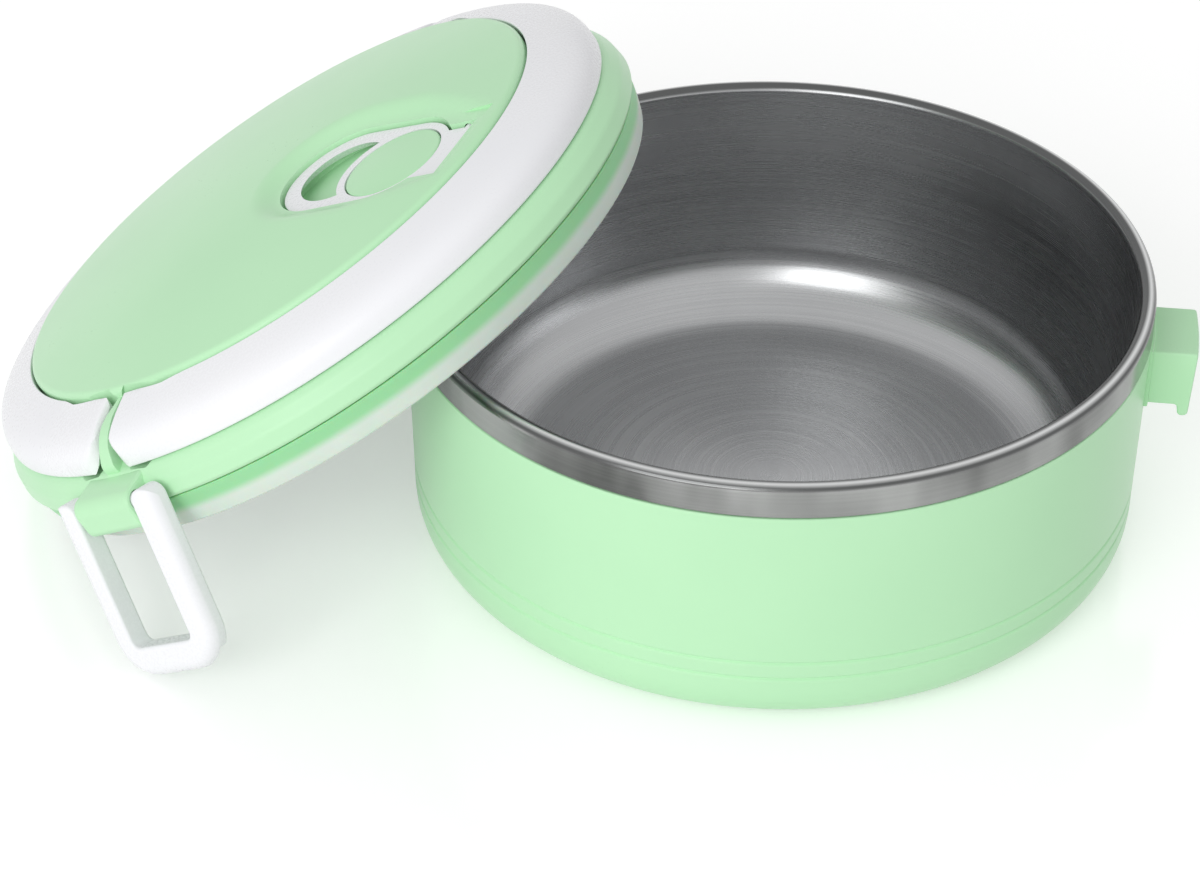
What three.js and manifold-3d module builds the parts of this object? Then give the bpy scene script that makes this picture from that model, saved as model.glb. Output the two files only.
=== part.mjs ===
// Round insulated lunch box: a steel bowl in a plastic body, with its clip-on lid off and leaning on the rim.
// Millimetres, +Z up. The origin is the middle of the body's base and the two catches lie on the X axis.

import * as THREE from 'three';
import { mergeVertices } from 'three/addons/utils/BufferGeometryUtils.js';
import Module from 'manifold-3d';

const wasm = await Module();
wasm.setup();

// General fits
const ROUND_SEGMENTS = 48;
const PIN_SEGMENTS = 16;
const CORNER_STEPS = 4;
const FINE_STEPS = 7;
const OVERCUT = 1;
const CLEARANCE = 0.3;
const PIN_GAP = 0.25;
const MOVING_GAP = 0.5;

// Body shell
const BODY_HEIGHT = 57;
const RIM_RADIUS = 73.2;
const WALL_TAPER = 0.6;
const CORNER_RADIUS = 9.5;
const SHELL_WALL = 2.1;
const SHELL_FLOOR = 2.2;
const SPIGOT_WALL = 1.2;
const GROOVE_HEIGHTS = [12.3, 16];
const GROOVE_WIDTH = 0.9;
const GROOVE_DEPTH = 0.5;
const FOOT_GROOVE_INSET = 21.2;
const FOOT_GROOVE_WIDTH = 12;
const FOOT_GROOVE_DEPTH = 0.8;

// Steel bowl
const STEEL = 0.6;
const BAND_HEIGHT = 6.8;
const LIP_WIDTH = 3;
const BOWL_FLOOR_Z = 5.6;
const BOWL_DRAFT = 4.2;
const BOWL_CORNER = 14;
const FOAM_DROP = 17;

// Catches on the body
const CATCH_DROP = 8.8;
const CATCH_HEIGHT = 12;
const CATCH_WIDTH = 16.2;
const CATCH_REACH = 9;
const HOOK_THICKNESS = 3.3;
const HOOK_DEPTH = 2.5;
const CATCH_ROUND = 1.2;
const PAD_MARGIN = 1.6;
const PAD_THICKNESS = 1.1;
const TENON_WIDTH = 10;
const TENON_HEIGHT = 7;
const TENON_DEPTH = 0.8;

// Lid cover, in the lid's own frame: +Z along its axis, z = 0 at the seal's lower edge
const DOME_EDGE_Z = 25.3;
const DOME_RISE = 5.7;
const DOME_EDGE_ROUND = 0.7;
const COVER_WALL = 2.2;
const LEDGE_INNER_Z = 18.6;
const LEDGE_OUTER_Z = 14.6;
const SKIRT_OVERHANG = 0.8;
const SKIRT_BATTER = 2.4;
const SKIRT_EDGE_Z = 8.4;
const SKIRT_BULGE = 0.5;
const SKIRT_LIP = 0.6;
const NECK_INSET = 2;
const NECK_BOTTOM_Z = 5.2;
const NECK_WALL = 2;
const LEDGE_UNDERSIDE_Z = 12.2;

// Lid liner, seal and foam
const LINER_RECESS = 6.9;
const LINER_THICKNESS = 2;
const LINER_RIM_WALL = 2.4;
const SEAL_FOOT_INSET = 1.8;
const SEAL_FLANGE_INSET = 1.2;
const SEAL_COLLAR_INSET = 0.8;
const SEAL_WIDTH = 6.9;
const SEAL_FLANGE_THICKNESS = 2;
const SEAL_LIP_THICKNESS = 2.8;
const SEAL_ROUND = 0.6;
const LID_FOAM_TOP = 16.6;
const PLUG_DEPTH = 4.2;

// Carry handles
const HANDLE_WIDTH = 12.1;
const HANDLE_SET_BACK = 0.3;
const HANDLE_PIVOT_Z = 20.2;
const HANDLE_END_RADIUS = 5.2;
const HANDLE_END_GAP = 4.2;
const HANDLE_PIN_RADIUS = 2;
const HANDLE_PIN_LENGTH = 2.2;
const HANDLE_SHOULDER_HEIGHT = 5.8;
const HANDLE_CROWN_RUN = 2;
const HANDLE_CROWN_DROP = 2.9;
const SADDLE_DROP = 1.5;
const SADDLE_ROUND = 1;
const NOTCH_WIDTH = 2.6;
const NOTCH_DEPTH = 1.3;

// Latch loops and their lugs
const LATCH_WIDTH = 28;
const LATCH_ARM = 5.5;
const LATCH_THICKNESS = 4.8;
const LATCH_BAR = 6.6;
const LATCH_EYE_RADIUS = 2.4;
const LATCH_OUTER_ROUND = 9;
const LATCH_INNER_ROUND = 1.6;
const LATCH_LIP_HEIGHT = 3.4;
const LATCH_LIP_RELIEF = 2.2;
const LATCH_PIN_RADIUS = 1.7;
const LATCH_PIN_LENGTH = 1.9;
const HINGE_Z = 11.1;
const LUG_FRONT = 2.9;
const LUG_TOP_Z = 13.8;
const LUG_BOTTOM_Z = 6;
const LUG_ROUND = 1.8;
const FRONT_LATCH_SWING = 17.8;
const BACK_LATCH_SWING = -10.8;

// Steam vent in the dome: outline along +Y from the lid's middle
const VENT_SLOPE = 5;
const VENT_HINGE_INSET = 9.7;
const VENT_HINGE_Z = 23.3;
const FLAP_THICKNESS = 2;
const FLAP_END = 1.5;
const FLAP_HINGE_HALF_WIDTH = 7.9;
const FLAP_RING_RADIUS = 12.5;
const FLAP_NOSE_HALF_WIDTH = 12.9;
const FLAP_NOSE_LENGTH = 12.7;
const FLAP_BAND = 3.6;
const POCKET_SHIFT = 0.6;
const DISC_RADIUS = 10.4;
const DISC_FROM_HINGE = 14.3;
const NOSE_FROM_HINGE = 28;
const DISC_CROWN = 0.7;
const DISC_CROWN_SHARE = 0.75;
const DISC_FLANGE = 0.9;
const DISC_FLANGE_THICKNESS = 0.8;
const POCKET_RING = 2.1;
const RECESS_GAP = 0.6;
const RECESS_END_GAP = 0.9;
const RECESS_FLOOR_GAP = 2.8;
const TUB_WALL = 2;
const FLARE_STEP = 0.6;
const FLARE_RISE = 5;
const FLARE_RUN = 17;
const FLARE_WALL = 1.8;
const VENT_PIN_RADIUS = 1.1;
const VENT_PIN_LENGTH = 1.2;
const VENT_BORE_RADIUS = 2.5;
const VENT_TUBE_WALL = 2;
const VENT_PLUG_FLANGE_RADIUS = 4;
const VENT_PLUG_DEPTH = 2.4;
const VENT_PLUG_TIP_RADIUS = 1.1;

// Pose of the lid that leans on the rim
const LEAN_ANGLE = 32.8;
const LEAN_AZIMUTH = 176.1;
const LID_TURN = 72.2;
const LID_SIDE_SHIFT = 1.1;

const GREEN = { color: 0xb4dfb8, roughness: 0.32, metalness: 0 };
const WHITE = { color: 0xf3f4f7, roughness: 0.3, metalness: 0 };
const STEEL_FINISH = { color: 0xb9babd, roughness: 0.28, metalness: 1 };
const SILICONE = { color: 0xdfe9df, roughness: 0.55, metalness: 0 };
const FOAM = { color: 0xf0ead8, roughness: 0.95, metalness: 0 };

// Geometry helpers
function outward(geometry) {
  geometry.deleteAttribute('normal');
  geometry.deleteAttribute('uv');
  const merged = mergeVertices(geometry);
  const points = merged.getAttribute('position');
  const source = merged.getIndex().array;
  const corner = [new THREE.Vector3(), new THREE.Vector3(), new THREE.Vector3()];
  const triangles = [];
  let volume = 0;
  for (let i = 0; i < source.length; i += 3) {
    const [a, b, c] = [source[i], source[i + 1], source[i + 2]];
    if (a === b || b === c || c === a) continue;
    triangles.push(a, b, c);
    corner[0].fromBufferAttribute(points, a);
    corner[1].fromBufferAttribute(points, b);
    corner[2].fromBufferAttribute(points, c);
    volume += corner[0].dot(corner[1].cross(corner[2]));
  }
  if (volume < 0) triangles.reverse();
  merged.setIndex(triangles);
  return merged;
}

function solid(geometry) {
  const closed = outward(geometry);
  const vertProperties = new Float32Array(closed.getAttribute('position').array);
  const triVerts = new Uint32Array(closed.getIndex().array);
  return new wasm.Manifold(new wasm.Mesh({ numProp: 3, vertProperties, triVerts }));
}

function geometryOf(body) {
  const mesh = body.getMesh();
  const geometry = new THREE.BufferGeometry();
  geometry.setAttribute('position', new THREE.BufferAttribute(new Float32Array(mesh.vertProperties), 3));
  geometry.setIndex(new THREE.BufferAttribute(new Uint32Array(mesh.triVerts), 1));
  geometry.computeVertexNormals();
  return geometry;
}

function revolve(profile, segments = ROUND_SEGMENTS) {
  const points = profile.map(([r, z]) => new THREE.Vector2(r, z));
  return solid(new THREE.LatheGeometry(points, segments).rotateX(Math.PI / 2));
}

function revolveRing(profile) {
  return revolve([...profile, profile[0]]);
}

function arc(r, z, radius, fromDegrees, toDegrees) {
  const points = [];
  for (let i = 0; i <= CORNER_STEPS; i += 1) {
    const angle = THREE.MathUtils.degToRad(fromDegrees + (toDegrees - fromDegrees) * i / CORNER_STEPS);
    points.push([r + radius * Math.cos(angle), z + radius * Math.sin(angle)]);
  }
  return points;
}

const AXES = {
  X: new THREE.Matrix4().makeBasis(
    new THREE.Vector3(0, 1, 0), new THREE.Vector3(0, 0, 1), new THREE.Vector3(1, 0, 0)),
  Y: new THREE.Matrix4().makeBasis(
    new THREE.Vector3(0, 0, 1), new THREE.Vector3(1, 0, 0), new THREE.Vector3(0, 1, 0)),
  Z: new THREE.Matrix4(),
};

// A shape is drawn in the two axes that follow its extrusion axis: YZ for X, ZX for Y, XY for Z.
function extrude(shape, axis, from, to, curveSegments = CORNER_STEPS) {
  const geometry = new THREE.ExtrudeGeometry(shape, { depth: to - from, bevelEnabled: false, curveSegments });
  return solid(geometry.translate(0, 0, from).applyMatrix4(AXES[axis]));
}

function pin(radius, axis, from, to, first, second) {
  const shape = new THREE.Shape().absarc(first, second, radius, 0, 2 * Math.PI);
  return extrude(shape, axis, from, to, PIN_SEGMENTS / 2);
}

function block(x0, x1, y0, y1, z0, z1) {
  const geometry = new THREE.BoxGeometry(x1 - x0, y1 - y0, z1 - z0);
  return solid(geometry.translate((x0 + x1) / 2, (y0 + y1) / 2, (z0 + z1) / 2));
}

function roundedPolygon(corners) {
  const shape = new THREE.Shape();
  corners.forEach(([x, y, radius = 0], i) => {
    const here = new THREE.Vector2(x, y);
    const before = new THREE.Vector2(...corners.at(i - 1).slice(0, 2));
    const after = new THREE.Vector2(...corners[(i + 1) % corners.length].slice(0, 2));
    const enter = here.clone().add(before.sub(here).setLength(radius));
    const leave = here.clone().add(after.sub(here).setLength(radius));
    if (i === 0) shape.moveTo(enter.x, enter.y);
    else shape.lineTo(enter.x, enter.y);
    if (radius > 0) shape.quadraticCurveTo(x, y, leave.x, leave.y);
  });
  return shape;
}

function piece(name, body, finish, parent) {
  const mesh = new THREE.Mesh(geometryOf(body), new THREE.MeshStandardMaterial(finish));
  mesh.name = name;
  parent.add(mesh);
  return mesh;
}

// Shared places on the body and the lid, all led from the rim
const wallFootRadius = RIM_RADIUS - WALL_TAPER;
const bandBottomZ = BODY_HEIGHT - BAND_HEIGHT;
const lipRadius = LIP_WIDTH / 2;
const lipCentreRadius = RIM_RADIUS - lipRadius;
const lipCentreZ = BODY_HEIGHT - lipRadius;
const mouthRadius = RIM_RADIUS - LIP_WIDTH;
const shellTopZ = bandBottomZ - CLEARANCE;
const bowlLowRadius = mouthRadius - BOWL_DRAFT;
const bowlFloorRadius = bowlLowRadius - BOWL_CORNER;
const bowlCornerZ = BOWL_FLOOR_Z + BOWL_CORNER;
const foamTopZ = BODY_HEIGHT - FOAM_DROP;
const spigotOuter = RIM_RADIUS - STEEL - CLEARANCE;
const spigotInner = spigotOuter - SPIGOT_WALL;
const skirtEdgeRadius = RIM_RADIUS + SKIRT_OVERHANG;
const skirtTopRadius = skirtEdgeRadius - SKIRT_BATTER;
const neckRadius = RIM_RADIUS - NECK_INSET;
const neckInner = neckRadius - NECK_WALL;
const sealFootRadius = RIM_RADIUS - SEAL_FOOT_INSET;
const handleOuterRadius = skirtTopRadius - HANDLE_SET_BACK;
const domeRadius = handleOuterRadius - HANDLE_WIDTH;
const domeInner = domeRadius - COVER_WALL;
const ventHingeY = domeRadius - VENT_HINGE_INSET;

function shellRadiusAt(z) {
  return wallFootRadius + WALL_TAPER * (z - CORNER_RADIUS) / (shellTopZ - CORNER_RADIUS);
}

function bowlOuterRadiusAt(z) {
  return bowlLowRadius + STEEL + BOWL_DRAFT * (z - bowlCornerZ) / (lipCentreZ - bowlCornerZ);
}

// The two ends of a span in rising order, for pieces mirrored across the lid
function span(side, from, to) {
  return [side * from, side * to].sort((a, b) => a - b);
}

// Outer shell: plastic body with a rounded foot, two ring grooves and a spigot that the steel band drops over
function makeOuterShell() {
  const half = GROOVE_WIDTH / 2;
  const grooves = GROOVE_HEIGHTS.flatMap((z) => {
    const middle = [shellRadiusAt(z) - GROOVE_DEPTH, z];
    return [[shellRadiusAt(z - half), z - half], middle, [shellRadiusAt(z + half), z + half]];
  });
  const grooveOuter = RIM_RADIUS - FOOT_GROOVE_INSET;
  const grooveInner = grooveOuter - FOOT_GROOVE_WIDTH;
  const cornerCentre = wallFootRadius - CORNER_RADIUS;
  const innerCorner = CORNER_RADIUS - SHELL_WALL;
  return revolve([
    [0, 0],
    [grooveInner, 0],
    [grooveInner + FOOT_GROOVE_DEPTH, FOOT_GROOVE_DEPTH],
    [grooveOuter - FOOT_GROOVE_DEPTH, FOOT_GROOVE_DEPTH],
    [grooveOuter, 0],
    ...arc(cornerCentre, CORNER_RADIUS, CORNER_RADIUS, -90, 0),
    ...grooves,
    [RIM_RADIUS, shellTopZ],
    [spigotOuter, shellTopZ],
    [spigotOuter, lipCentreZ],
    [spigotInner, lipCentreZ],
    [spigotInner, shellTopZ],
    ...arc(cornerCentre, SHELL_FLOOR + innerCorner, innerCorner, 0, -90),
    [0, SHELL_FLOOR],
  ]);
}

// Steel bowl: tapered wall, rounded floor and a rim rolled over into the outer band
function makeInnerBowl() {
  return revolve([
    [0, BOWL_FLOOR_Z - STEEL],
    ...arc(bowlFloorRadius, bowlCornerZ, BOWL_CORNER + STEEL, -90, 0),
    ...arc(lipCentreRadius, lipCentreZ, lipRadius - STEEL, 180, 0),
    [RIM_RADIUS - STEEL, bandBottomZ],
    [RIM_RADIUS, bandBottomZ],
    ...arc(lipCentreRadius, lipCentreZ, lipRadius, 0, 180),
    ...arc(bowlFloorRadius, bowlCornerZ, BOWL_CORNER, 0, -90),
    [0, BOWL_FLOOR_Z],
  ]);
}

// Foam cup that fills the space between shell and steel
function makeBowlInsulation() {
  const innerCorner = CORNER_RADIUS - SHELL_WALL - CLEARANCE;
  const cornerCentre = wallFootRadius - CORNER_RADIUS;
  const shellInnerLow = wallFootRadius - SHELL_WALL;
  const lowZ = SHELL_FLOOR + CORNER_RADIUS - SHELL_WALL;
  const rise = (foamTopZ - lowZ) / (shellTopZ - lowZ);
  const outerTop = shellInnerLow + (spigotInner - shellInnerLow) * rise - CLEARANCE;
  return revolve([
    [0, SHELL_FLOOR + CLEARANCE],
    ...arc(cornerCentre, lowZ, innerCorner, -90, 0),
    [outerTop, foamTopZ],
    [bowlOuterRadiusAt(foamTopZ) + CLEARANCE, foamTopZ],
    ...arc(bowlFloorRadius, bowlCornerZ, BOWL_CORNER + STEEL + CLEARANCE, 0, -90),
    [0, BOWL_FLOOR_Z - STEEL - CLEARANCE],
  ]);
}

// Catch: curved pad on the wall, a block that stands out and a lip that turns down to hold the latch bar
const catchTopZ = BODY_HEIGHT - CATCH_DROP;
const catchBottomZ = catchTopZ - CATCH_HEIGHT;
const catchMiddleZ = (catchTopZ + catchBottomZ) / 2;

function catchSideShape() {
  const wall = wallFootRadius - TENON_DEPTH;
  const tip = RIM_RADIUS + CATCH_REACH;
  const hook = tip - HOOK_THICKNESS;
  return roundedPolygon([
    [catchBottomZ, wall],
    [catchBottomZ, hook, CATCH_ROUND / 2],
    [catchBottomZ - HOOK_DEPTH, hook, CATCH_ROUND],
    [catchBottomZ - HOOK_DEPTH, tip - CATCH_ROUND / 2, CATCH_ROUND],
    [catchTopZ, tip, CATCH_ROUND],
    [catchTopZ, wall],
  ]);
}

function tenon(grow) {
  const half = TENON_WIDTH / 2 + grow;
  const rise = TENON_HEIGHT / 2 + grow;
  const depth = shellRadiusAt(catchMiddleZ) - TENON_DEPTH - grow;
  return block(depth, RIM_RADIUS + PAD_THICKNESS, -half, half, catchMiddleZ - rise, catchMiddleZ + rise);
}

function makeCatch() {
  const half = CATCH_WIDTH / 2;
  const padHalf = half + PAD_MARGIN;
  const padBack = RIM_RADIUS + CLEARANCE;
  const ring = revolveRing([[padBack, 0], [padBack + PAD_THICKNESS, 0],
    [padBack + PAD_THICKNESS, BODY_HEIGHT], [padBack, BODY_HEIGHT]]);
  const padArea = block(0, 2 * RIM_RADIUS, -padHalf, padHalf, catchBottomZ, catchTopZ + PAD_MARGIN / 2);
  const wall = revolve([[0, 0], [padBack, 0], [padBack, BODY_HEIGHT], [0, BODY_HEIGHT]]);
  const hookBlock = extrude(catchSideShape(), 'Y', -half, half).subtract(wall);
  return ring.intersect(padArea).add(hookBlock).add(tenon(0));
}

// Lid cover profiles
const domeCurve = (domeRadius ** 2 + DOME_RISE ** 2) / (2 * DOME_RISE);
const domeTopZ = DOME_EDGE_Z + DOME_RISE;

function domeZ(r) {
  return domeTopZ - domeCurve + Math.sqrt(domeCurve ** 2 - r ** 2);
}

function domeLine(fromRadius, toRadius, drop) {
  const points = [];
  for (let i = 0; i <= CORNER_STEPS; i += 1) {
    const r = fromRadius + (toRadius - fromRadius) * i / CORNER_STEPS;
    points.push([r, domeZ(r) - drop]);
  }
  return points;
}

function ledgeZ(r) {
  const along = (r - domeRadius) / (skirtTopRadius - domeRadius);
  return LEDGE_INNER_Z + (LEDGE_OUTER_Z - LEDGE_INNER_Z) * along;
}

function coverShell() {
  const skirtMiddleRadius = (skirtTopRadius + skirtEdgeRadius) / 2 + SKIRT_BULGE;
  const skirtMiddleZ = (LEDGE_OUTER_Z + SKIRT_EDGE_Z) / 2 + SKIRT_BULGE;
  return revolve([
    ...domeLine(0, domeRadius - DOME_EDGE_ROUND, 0),
    [domeRadius, DOME_EDGE_Z - DOME_EDGE_ROUND],
    [domeRadius, LEDGE_INNER_Z],
    [skirtTopRadius, LEDGE_OUTER_Z],
    [skirtMiddleRadius, skirtMiddleZ],
    [skirtEdgeRadius, SKIRT_EDGE_Z],
    [skirtEdgeRadius - SKIRT_LIP, SKIRT_EDGE_Z - SKIRT_LIP],
    [neckRadius, SKIRT_EDGE_Z - SKIRT_LIP],
    [neckRadius, NECK_BOTTOM_Z],
    [neckInner, NECK_BOTTOM_Z],
    [neckInner, LEDGE_UNDERSIDE_Z],
    [domeInner, LEDGE_UNDERSIDE_Z],
    ...domeLine(domeInner, 0, COVER_WALL),
  ]);
}

// Handle places: each half ring turns on two pins beside the lugs
const handlePivotY = HANDLE_END_GAP / 2 + HANDLE_END_RADIUS;

function saddle(side) {
  const half = HANDLE_END_GAP / 2 - MOVING_GAP;
  const inner = domeInner + COVER_WALL / 2;
  const shape = roundedPolygon([
    [LEDGE_UNDERSIDE_Z + SADDLE_ROUND, side * inner],
    [DOME_EDGE_Z - SADDLE_DROP, side * inner],
    [DOME_EDGE_Z - SADDLE_DROP - SADDLE_ROUND, side * (domeRadius + SADDLE_ROUND), SADDLE_ROUND],
    [LEDGE_OUTER_Z + SADDLE_DROP, side * skirtTopRadius, SADDLE_ROUND],
    [LEDGE_UNDERSIDE_Z + SADDLE_ROUND, side * (skirtTopRadius - SADDLE_ROUND)],
  ]);
  return extrude(shape, 'Y', -half, half);
}

// Latch hinge places
const hingeRadius = RIM_RADIUS + MOVING_GAP + LATCH_THICKNESS / 2;
const lugHalf = LATCH_WIDTH / 2 - LATCH_ARM - MOVING_GAP;

function lug(side) {
  const root = neckInner + NECK_WALL / 2;
  const shape = roundedPolygon([
    [LUG_TOP_Z, side * root],
    [LUG_TOP_Z, side * (hingeRadius + LUG_FRONT), LUG_ROUND],
    [LUG_BOTTOM_Z, side * (hingeRadius + LUG_FRONT), LUG_ROUND],
    [LUG_BOTTOM_Z, side * root],
  ]);
  return extrude(shape, 'Y', -lugHalf, lugHalf);
}

function latchSockets(side) {
  const depth = LATCH_PIN_LENGTH - MOVING_GAP + CLEARANCE;
  const armEnd = LATCH_WIDTH / 2 + MOVING_GAP;
  const pocket = span(side, RIM_RADIUS - MOVING_GAP, skirtEdgeRadius + OVERCUT);
  const cuts = [-1, 1].map((way) => {
    const along = span(way, lugHalf - depth, lugHalf + OVERCUT);
    const socket = pin(LATCH_PIN_RADIUS + PIN_GAP, 'Y', ...along, HINGE_Z, side * hingeRadius);
    const armRoom = block(...pocket, ...span(way, lugHalf, armEnd), NECK_BOTTOM_Z, LEDGE_OUTER_Z);
    return socket.add(armRoom);
  });
  return cuts[0].add(cuts[1]);
}

function handleSockets(side) {
  const edge = Math.sqrt(domeRadius ** 2 - handlePivotY ** 2);
  const wallFace = Math.sqrt(domeRadius ** 2 - (handlePivotY + HANDLE_END_RADIUS) ** 2);
  const through = span(side, domeInner - OVERCUT, domeRadius + OVERCUT);
  const room = span(side, wallFace + MOVING_GAP, skirtEdgeRadius);
  const notchDepth = span(side, edge - NOTCH_DEPTH, edge + OVERCUT);
  const cuts = [-1, 1].map((way) => {
    const y = way * handlePivotY;
    const socket = pin(HANDLE_PIN_RADIUS + PIN_GAP, 'X', ...through, y, HANDLE_PIVOT_Z);
    const endRoom = pin(HANDLE_END_RADIUS + MOVING_GAP, 'X', ...room, y, HANDLE_PIVOT_Z);
    const notchWidth = [y - NOTCH_WIDTH / 2, y + NOTCH_WIDTH / 2];
    const notch = block(...notchDepth, ...notchWidth, DOME_EDGE_Z - NOTCH_DEPTH, domeTopZ);
    return { socket: socket.add(notch), endRoom };
  });
  return { sockets: cuts[0].socket.add(cuts[1].socket), endRooms: cuts[0].endRoom.add(cuts[1].endRoom) };
}

// Vent outline in the flap's plane: hinge block, ring round the disc and a rounded nose
function ventOutline(grow, endGrow) {
  const half = FLAP_HINGE_HALF_WIDTH + grow;
  const ring = FLAP_RING_RADIUS + grow;
  const nose = FLAP_NOSE_HALF_WIDTH + grow;
  const length = FLAP_NOSE_LENGTH + grow;
  const joint = Math.asin(half / ring);
  const shape = new THREE.Shape();
  shape.moveTo(-half, FLAP_END + endGrow);
  shape.lineTo(half, FLAP_END + endGrow);
  shape.absarc(0, -DISC_FROM_HINGE, ring, Math.PI / 2 - joint, 0, true);
  shape.absellipse(0, -NOSE_FROM_HINGE, nose, length, 0, -Math.PI, true, 0);
  shape.absarc(0, -DISC_FROM_HINGE, ring, Math.PI, Math.PI / 2 + joint, true);
  return shape;
}

function fingerPocket() {
  const centre = -NOSE_FROM_HINGE + POCKET_SHIFT;
  const halfWidth = FLAP_NOSE_HALF_WIDTH - FLAP_BAND;
  const halfLength = FLAP_NOSE_LENGTH - FLAP_BAND + POCKET_SHIFT;
  const oval = new THREE.Shape().absellipse(0, centre, halfWidth, halfLength, 0, 2 * Math.PI, false, 0);
  const whole = extrude(oval, 'Z', -FLAP_THICKNESS, FLAP_THICKNESS, 2 * FINE_STEPS);
  const deep = 2 * FLAP_THICKNESS;
  const ring = pin(DISC_RADIUS + POCKET_RING, 'Z', -deep, deep, 0, -DISC_FROM_HINGE);
  return whole.subtract(ring);
}

function ventPlace(body) {
  return body.rotate([-VENT_SLOPE, 0, 0]).translate([0, ventHingeY, VENT_HINGE_Z]);
}

const recessFloor = -FLAP_THICKNESS / 2 - RECESS_FLOOR_GAP;

function ventRecess() {
  const open = extrude(ventOutline(RECESS_GAP, RECESS_END_GAP), 'Z', recessFloor, domeTopZ, FINE_STEPS);
  const reach = FLAP_HINGE_HALF_WIDTH + RECESS_GAP + VENT_PIN_LENGTH;
  return ventPlace(open.add(pin(VENT_PIN_RADIUS + PIN_GAP, 'X', -reach, reach, 0, 0)));
}

function ventTub() {
  const grow = RECESS_GAP + TUB_WALL;
  const outline = ventOutline(grow, RECESS_END_GAP + TUB_WALL);
  const tub = extrude(outline, 'Z', recessFloor - TUB_WALL, domeTopZ, FINE_STEPS);
  const underDome = revolve([...domeLine(0, domeInner + COVER_WALL / 2, COVER_WALL / 2),
    [domeInner + COVER_WALL / 2, LEDGE_UNDERSIDE_Z], [0, LEDGE_UNDERSIDE_Z]]);
  return ventPlace(tub).add(ventFlare(FLARE_WALL)).intersect(underDome);
}

// Shallow dish that leads from the dome's surface down to the vent
function ventFlare(drop) {
  const half = FLAP_HINGE_HALF_WIDTH + RECESS_GAP;
  const wide = FLAP_NOSE_HALF_WIDTH + RECESS_GAP;
  const shape = new THREE.Shape();
  shape.moveTo(half, FLAP_END + RECESS_END_GAP);
  shape.lineTo(wide, -DISC_FROM_HINGE);
  shape.absellipse(0, -NOSE_FROM_HINGE, wide, FLAP_NOSE_LENGTH + RECESS_GAP, 0, -Math.PI, true, 0);
  shape.lineTo(-wide, -DISC_FROM_HINGE);
  shape.lineTo(-half, FLAP_END + RECESS_END_GAP);
  const dish = new THREE.ExtrudeGeometry(shape, {
    depth: domeTopZ,
    bevelThickness: FLARE_RISE,
    bevelSize: FLARE_RUN,
    bevelSegments: 1,
    curveSegments: FINE_STEPS,
  });
  return ventPlace(solid(dish.translate(0, 0, FLAP_THICKNESS / 2 + FLARE_STEP + FLARE_RISE - drop)));
}

const slope = THREE.MathUtils.degToRad(VENT_SLOPE);
const ventBoreY = ventHingeY - DISC_FROM_HINGE * Math.cos(slope) + recessFloor * Math.sin(slope);
const ventBoreTopZ = VENT_HINGE_Z + DISC_FROM_HINGE * Math.sin(slope) + recessFloor * Math.cos(slope);
const linerTopZ = LINER_RECESS + LINER_THICKNESS;

function makeLidCover() {
  const tubeRadius = VENT_BORE_RADIUS + VENT_TUBE_WALL;
  const tube = pin(tubeRadius, 'Z', linerTopZ + CLEARANCE, ventBoreTopZ - TUB_WALL / 2, 0, ventBoreY);
  const bore = pin(VENT_BORE_RADIUS, 'Z', 0, domeTopZ, 0, ventBoreY);
  let cover = coverShell().add(ventTub()).add(tube);
  cover = cover.subtract(ventFlare(0)).subtract(ventRecess()).subtract(bore);
  for (const side of [-1, 1]) {
    const { sockets, endRooms } = handleSockets(side);
    cover = cover.subtract(endRooms).add(saddle(side)).add(lug(side));
    cover = cover.subtract(sockets).subtract(latchSockets(side));
  }
  return cover;
}

// Liner: flat plate with a rim that snaps up into the cover
function makeLidLiner() {
  const outer = neckInner - CLEARANCE;
  const plate = revolve([
    [0, LINER_RECESS],
    [outer, LINER_RECESS],
    [outer, LEDGE_UNDERSIDE_Z - CLEARANCE],
    [outer - LINER_RIM_WALL, LEDGE_UNDERSIDE_Z - CLEARANCE],
    [outer - LINER_RIM_WALL, linerTopZ],
    [0, linerTopZ],
  ]);
  return plate.subtract(pin(VENT_BORE_RADIUS, 'Z', 0, domeTopZ, 0, ventBoreY));
}

// Seal: flange held under the liner, a collar round the neck and a lip that presses into the bowl's mouth
function makeLidSeal() {
  const flangeTop = LINER_RECESS - CLEARANCE;
  const flangeBottom = flangeTop - SEAL_FLANGE_THICKNESS;
  const shoulder = NECK_BOTTOM_Z - CLEARANCE;
  const collarTop = SKIRT_EDGE_Z - SKIRT_LIP - CLEARANCE;
  const lipInner = sealFootRadius - SEAL_LIP_THICKNESS;
  const sealInner = sealFootRadius - SEAL_WIDTH;
  let seal = revolveRing([
    [sealInner, flangeBottom],
    [lipInner, flangeBottom - SEAL_ROUND],
    [lipInner + SEAL_ROUND, 0],
    [sealFootRadius - SEAL_ROUND, 0],
    [sealFootRadius, SEAL_ROUND],
    [RIM_RADIUS - SEAL_FLANGE_INSET, shoulder],
    [RIM_RADIUS - SEAL_COLLAR_INSET, collarTop],
    [neckRadius + CLEARANCE, collarTop],
    [neckRadius + CLEARANCE, shoulder],
    [neckInner - CLEARANCE, shoulder],
    [neckInner - CLEARANCE, flangeTop],
    [sealInner, flangeTop],
  ]);
  const half = lugHalf + CLEARANCE;
  for (const side of [-1, 1]) {
    const across = span(side, neckInner, RIM_RADIUS + OVERCUT);
    seal = seal.subtract(block(...across, -half, half, LUG_BOTTOM_Z - CLEARANCE, SKIRT_EDGE_Z));
  }
  return seal;
}

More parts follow.
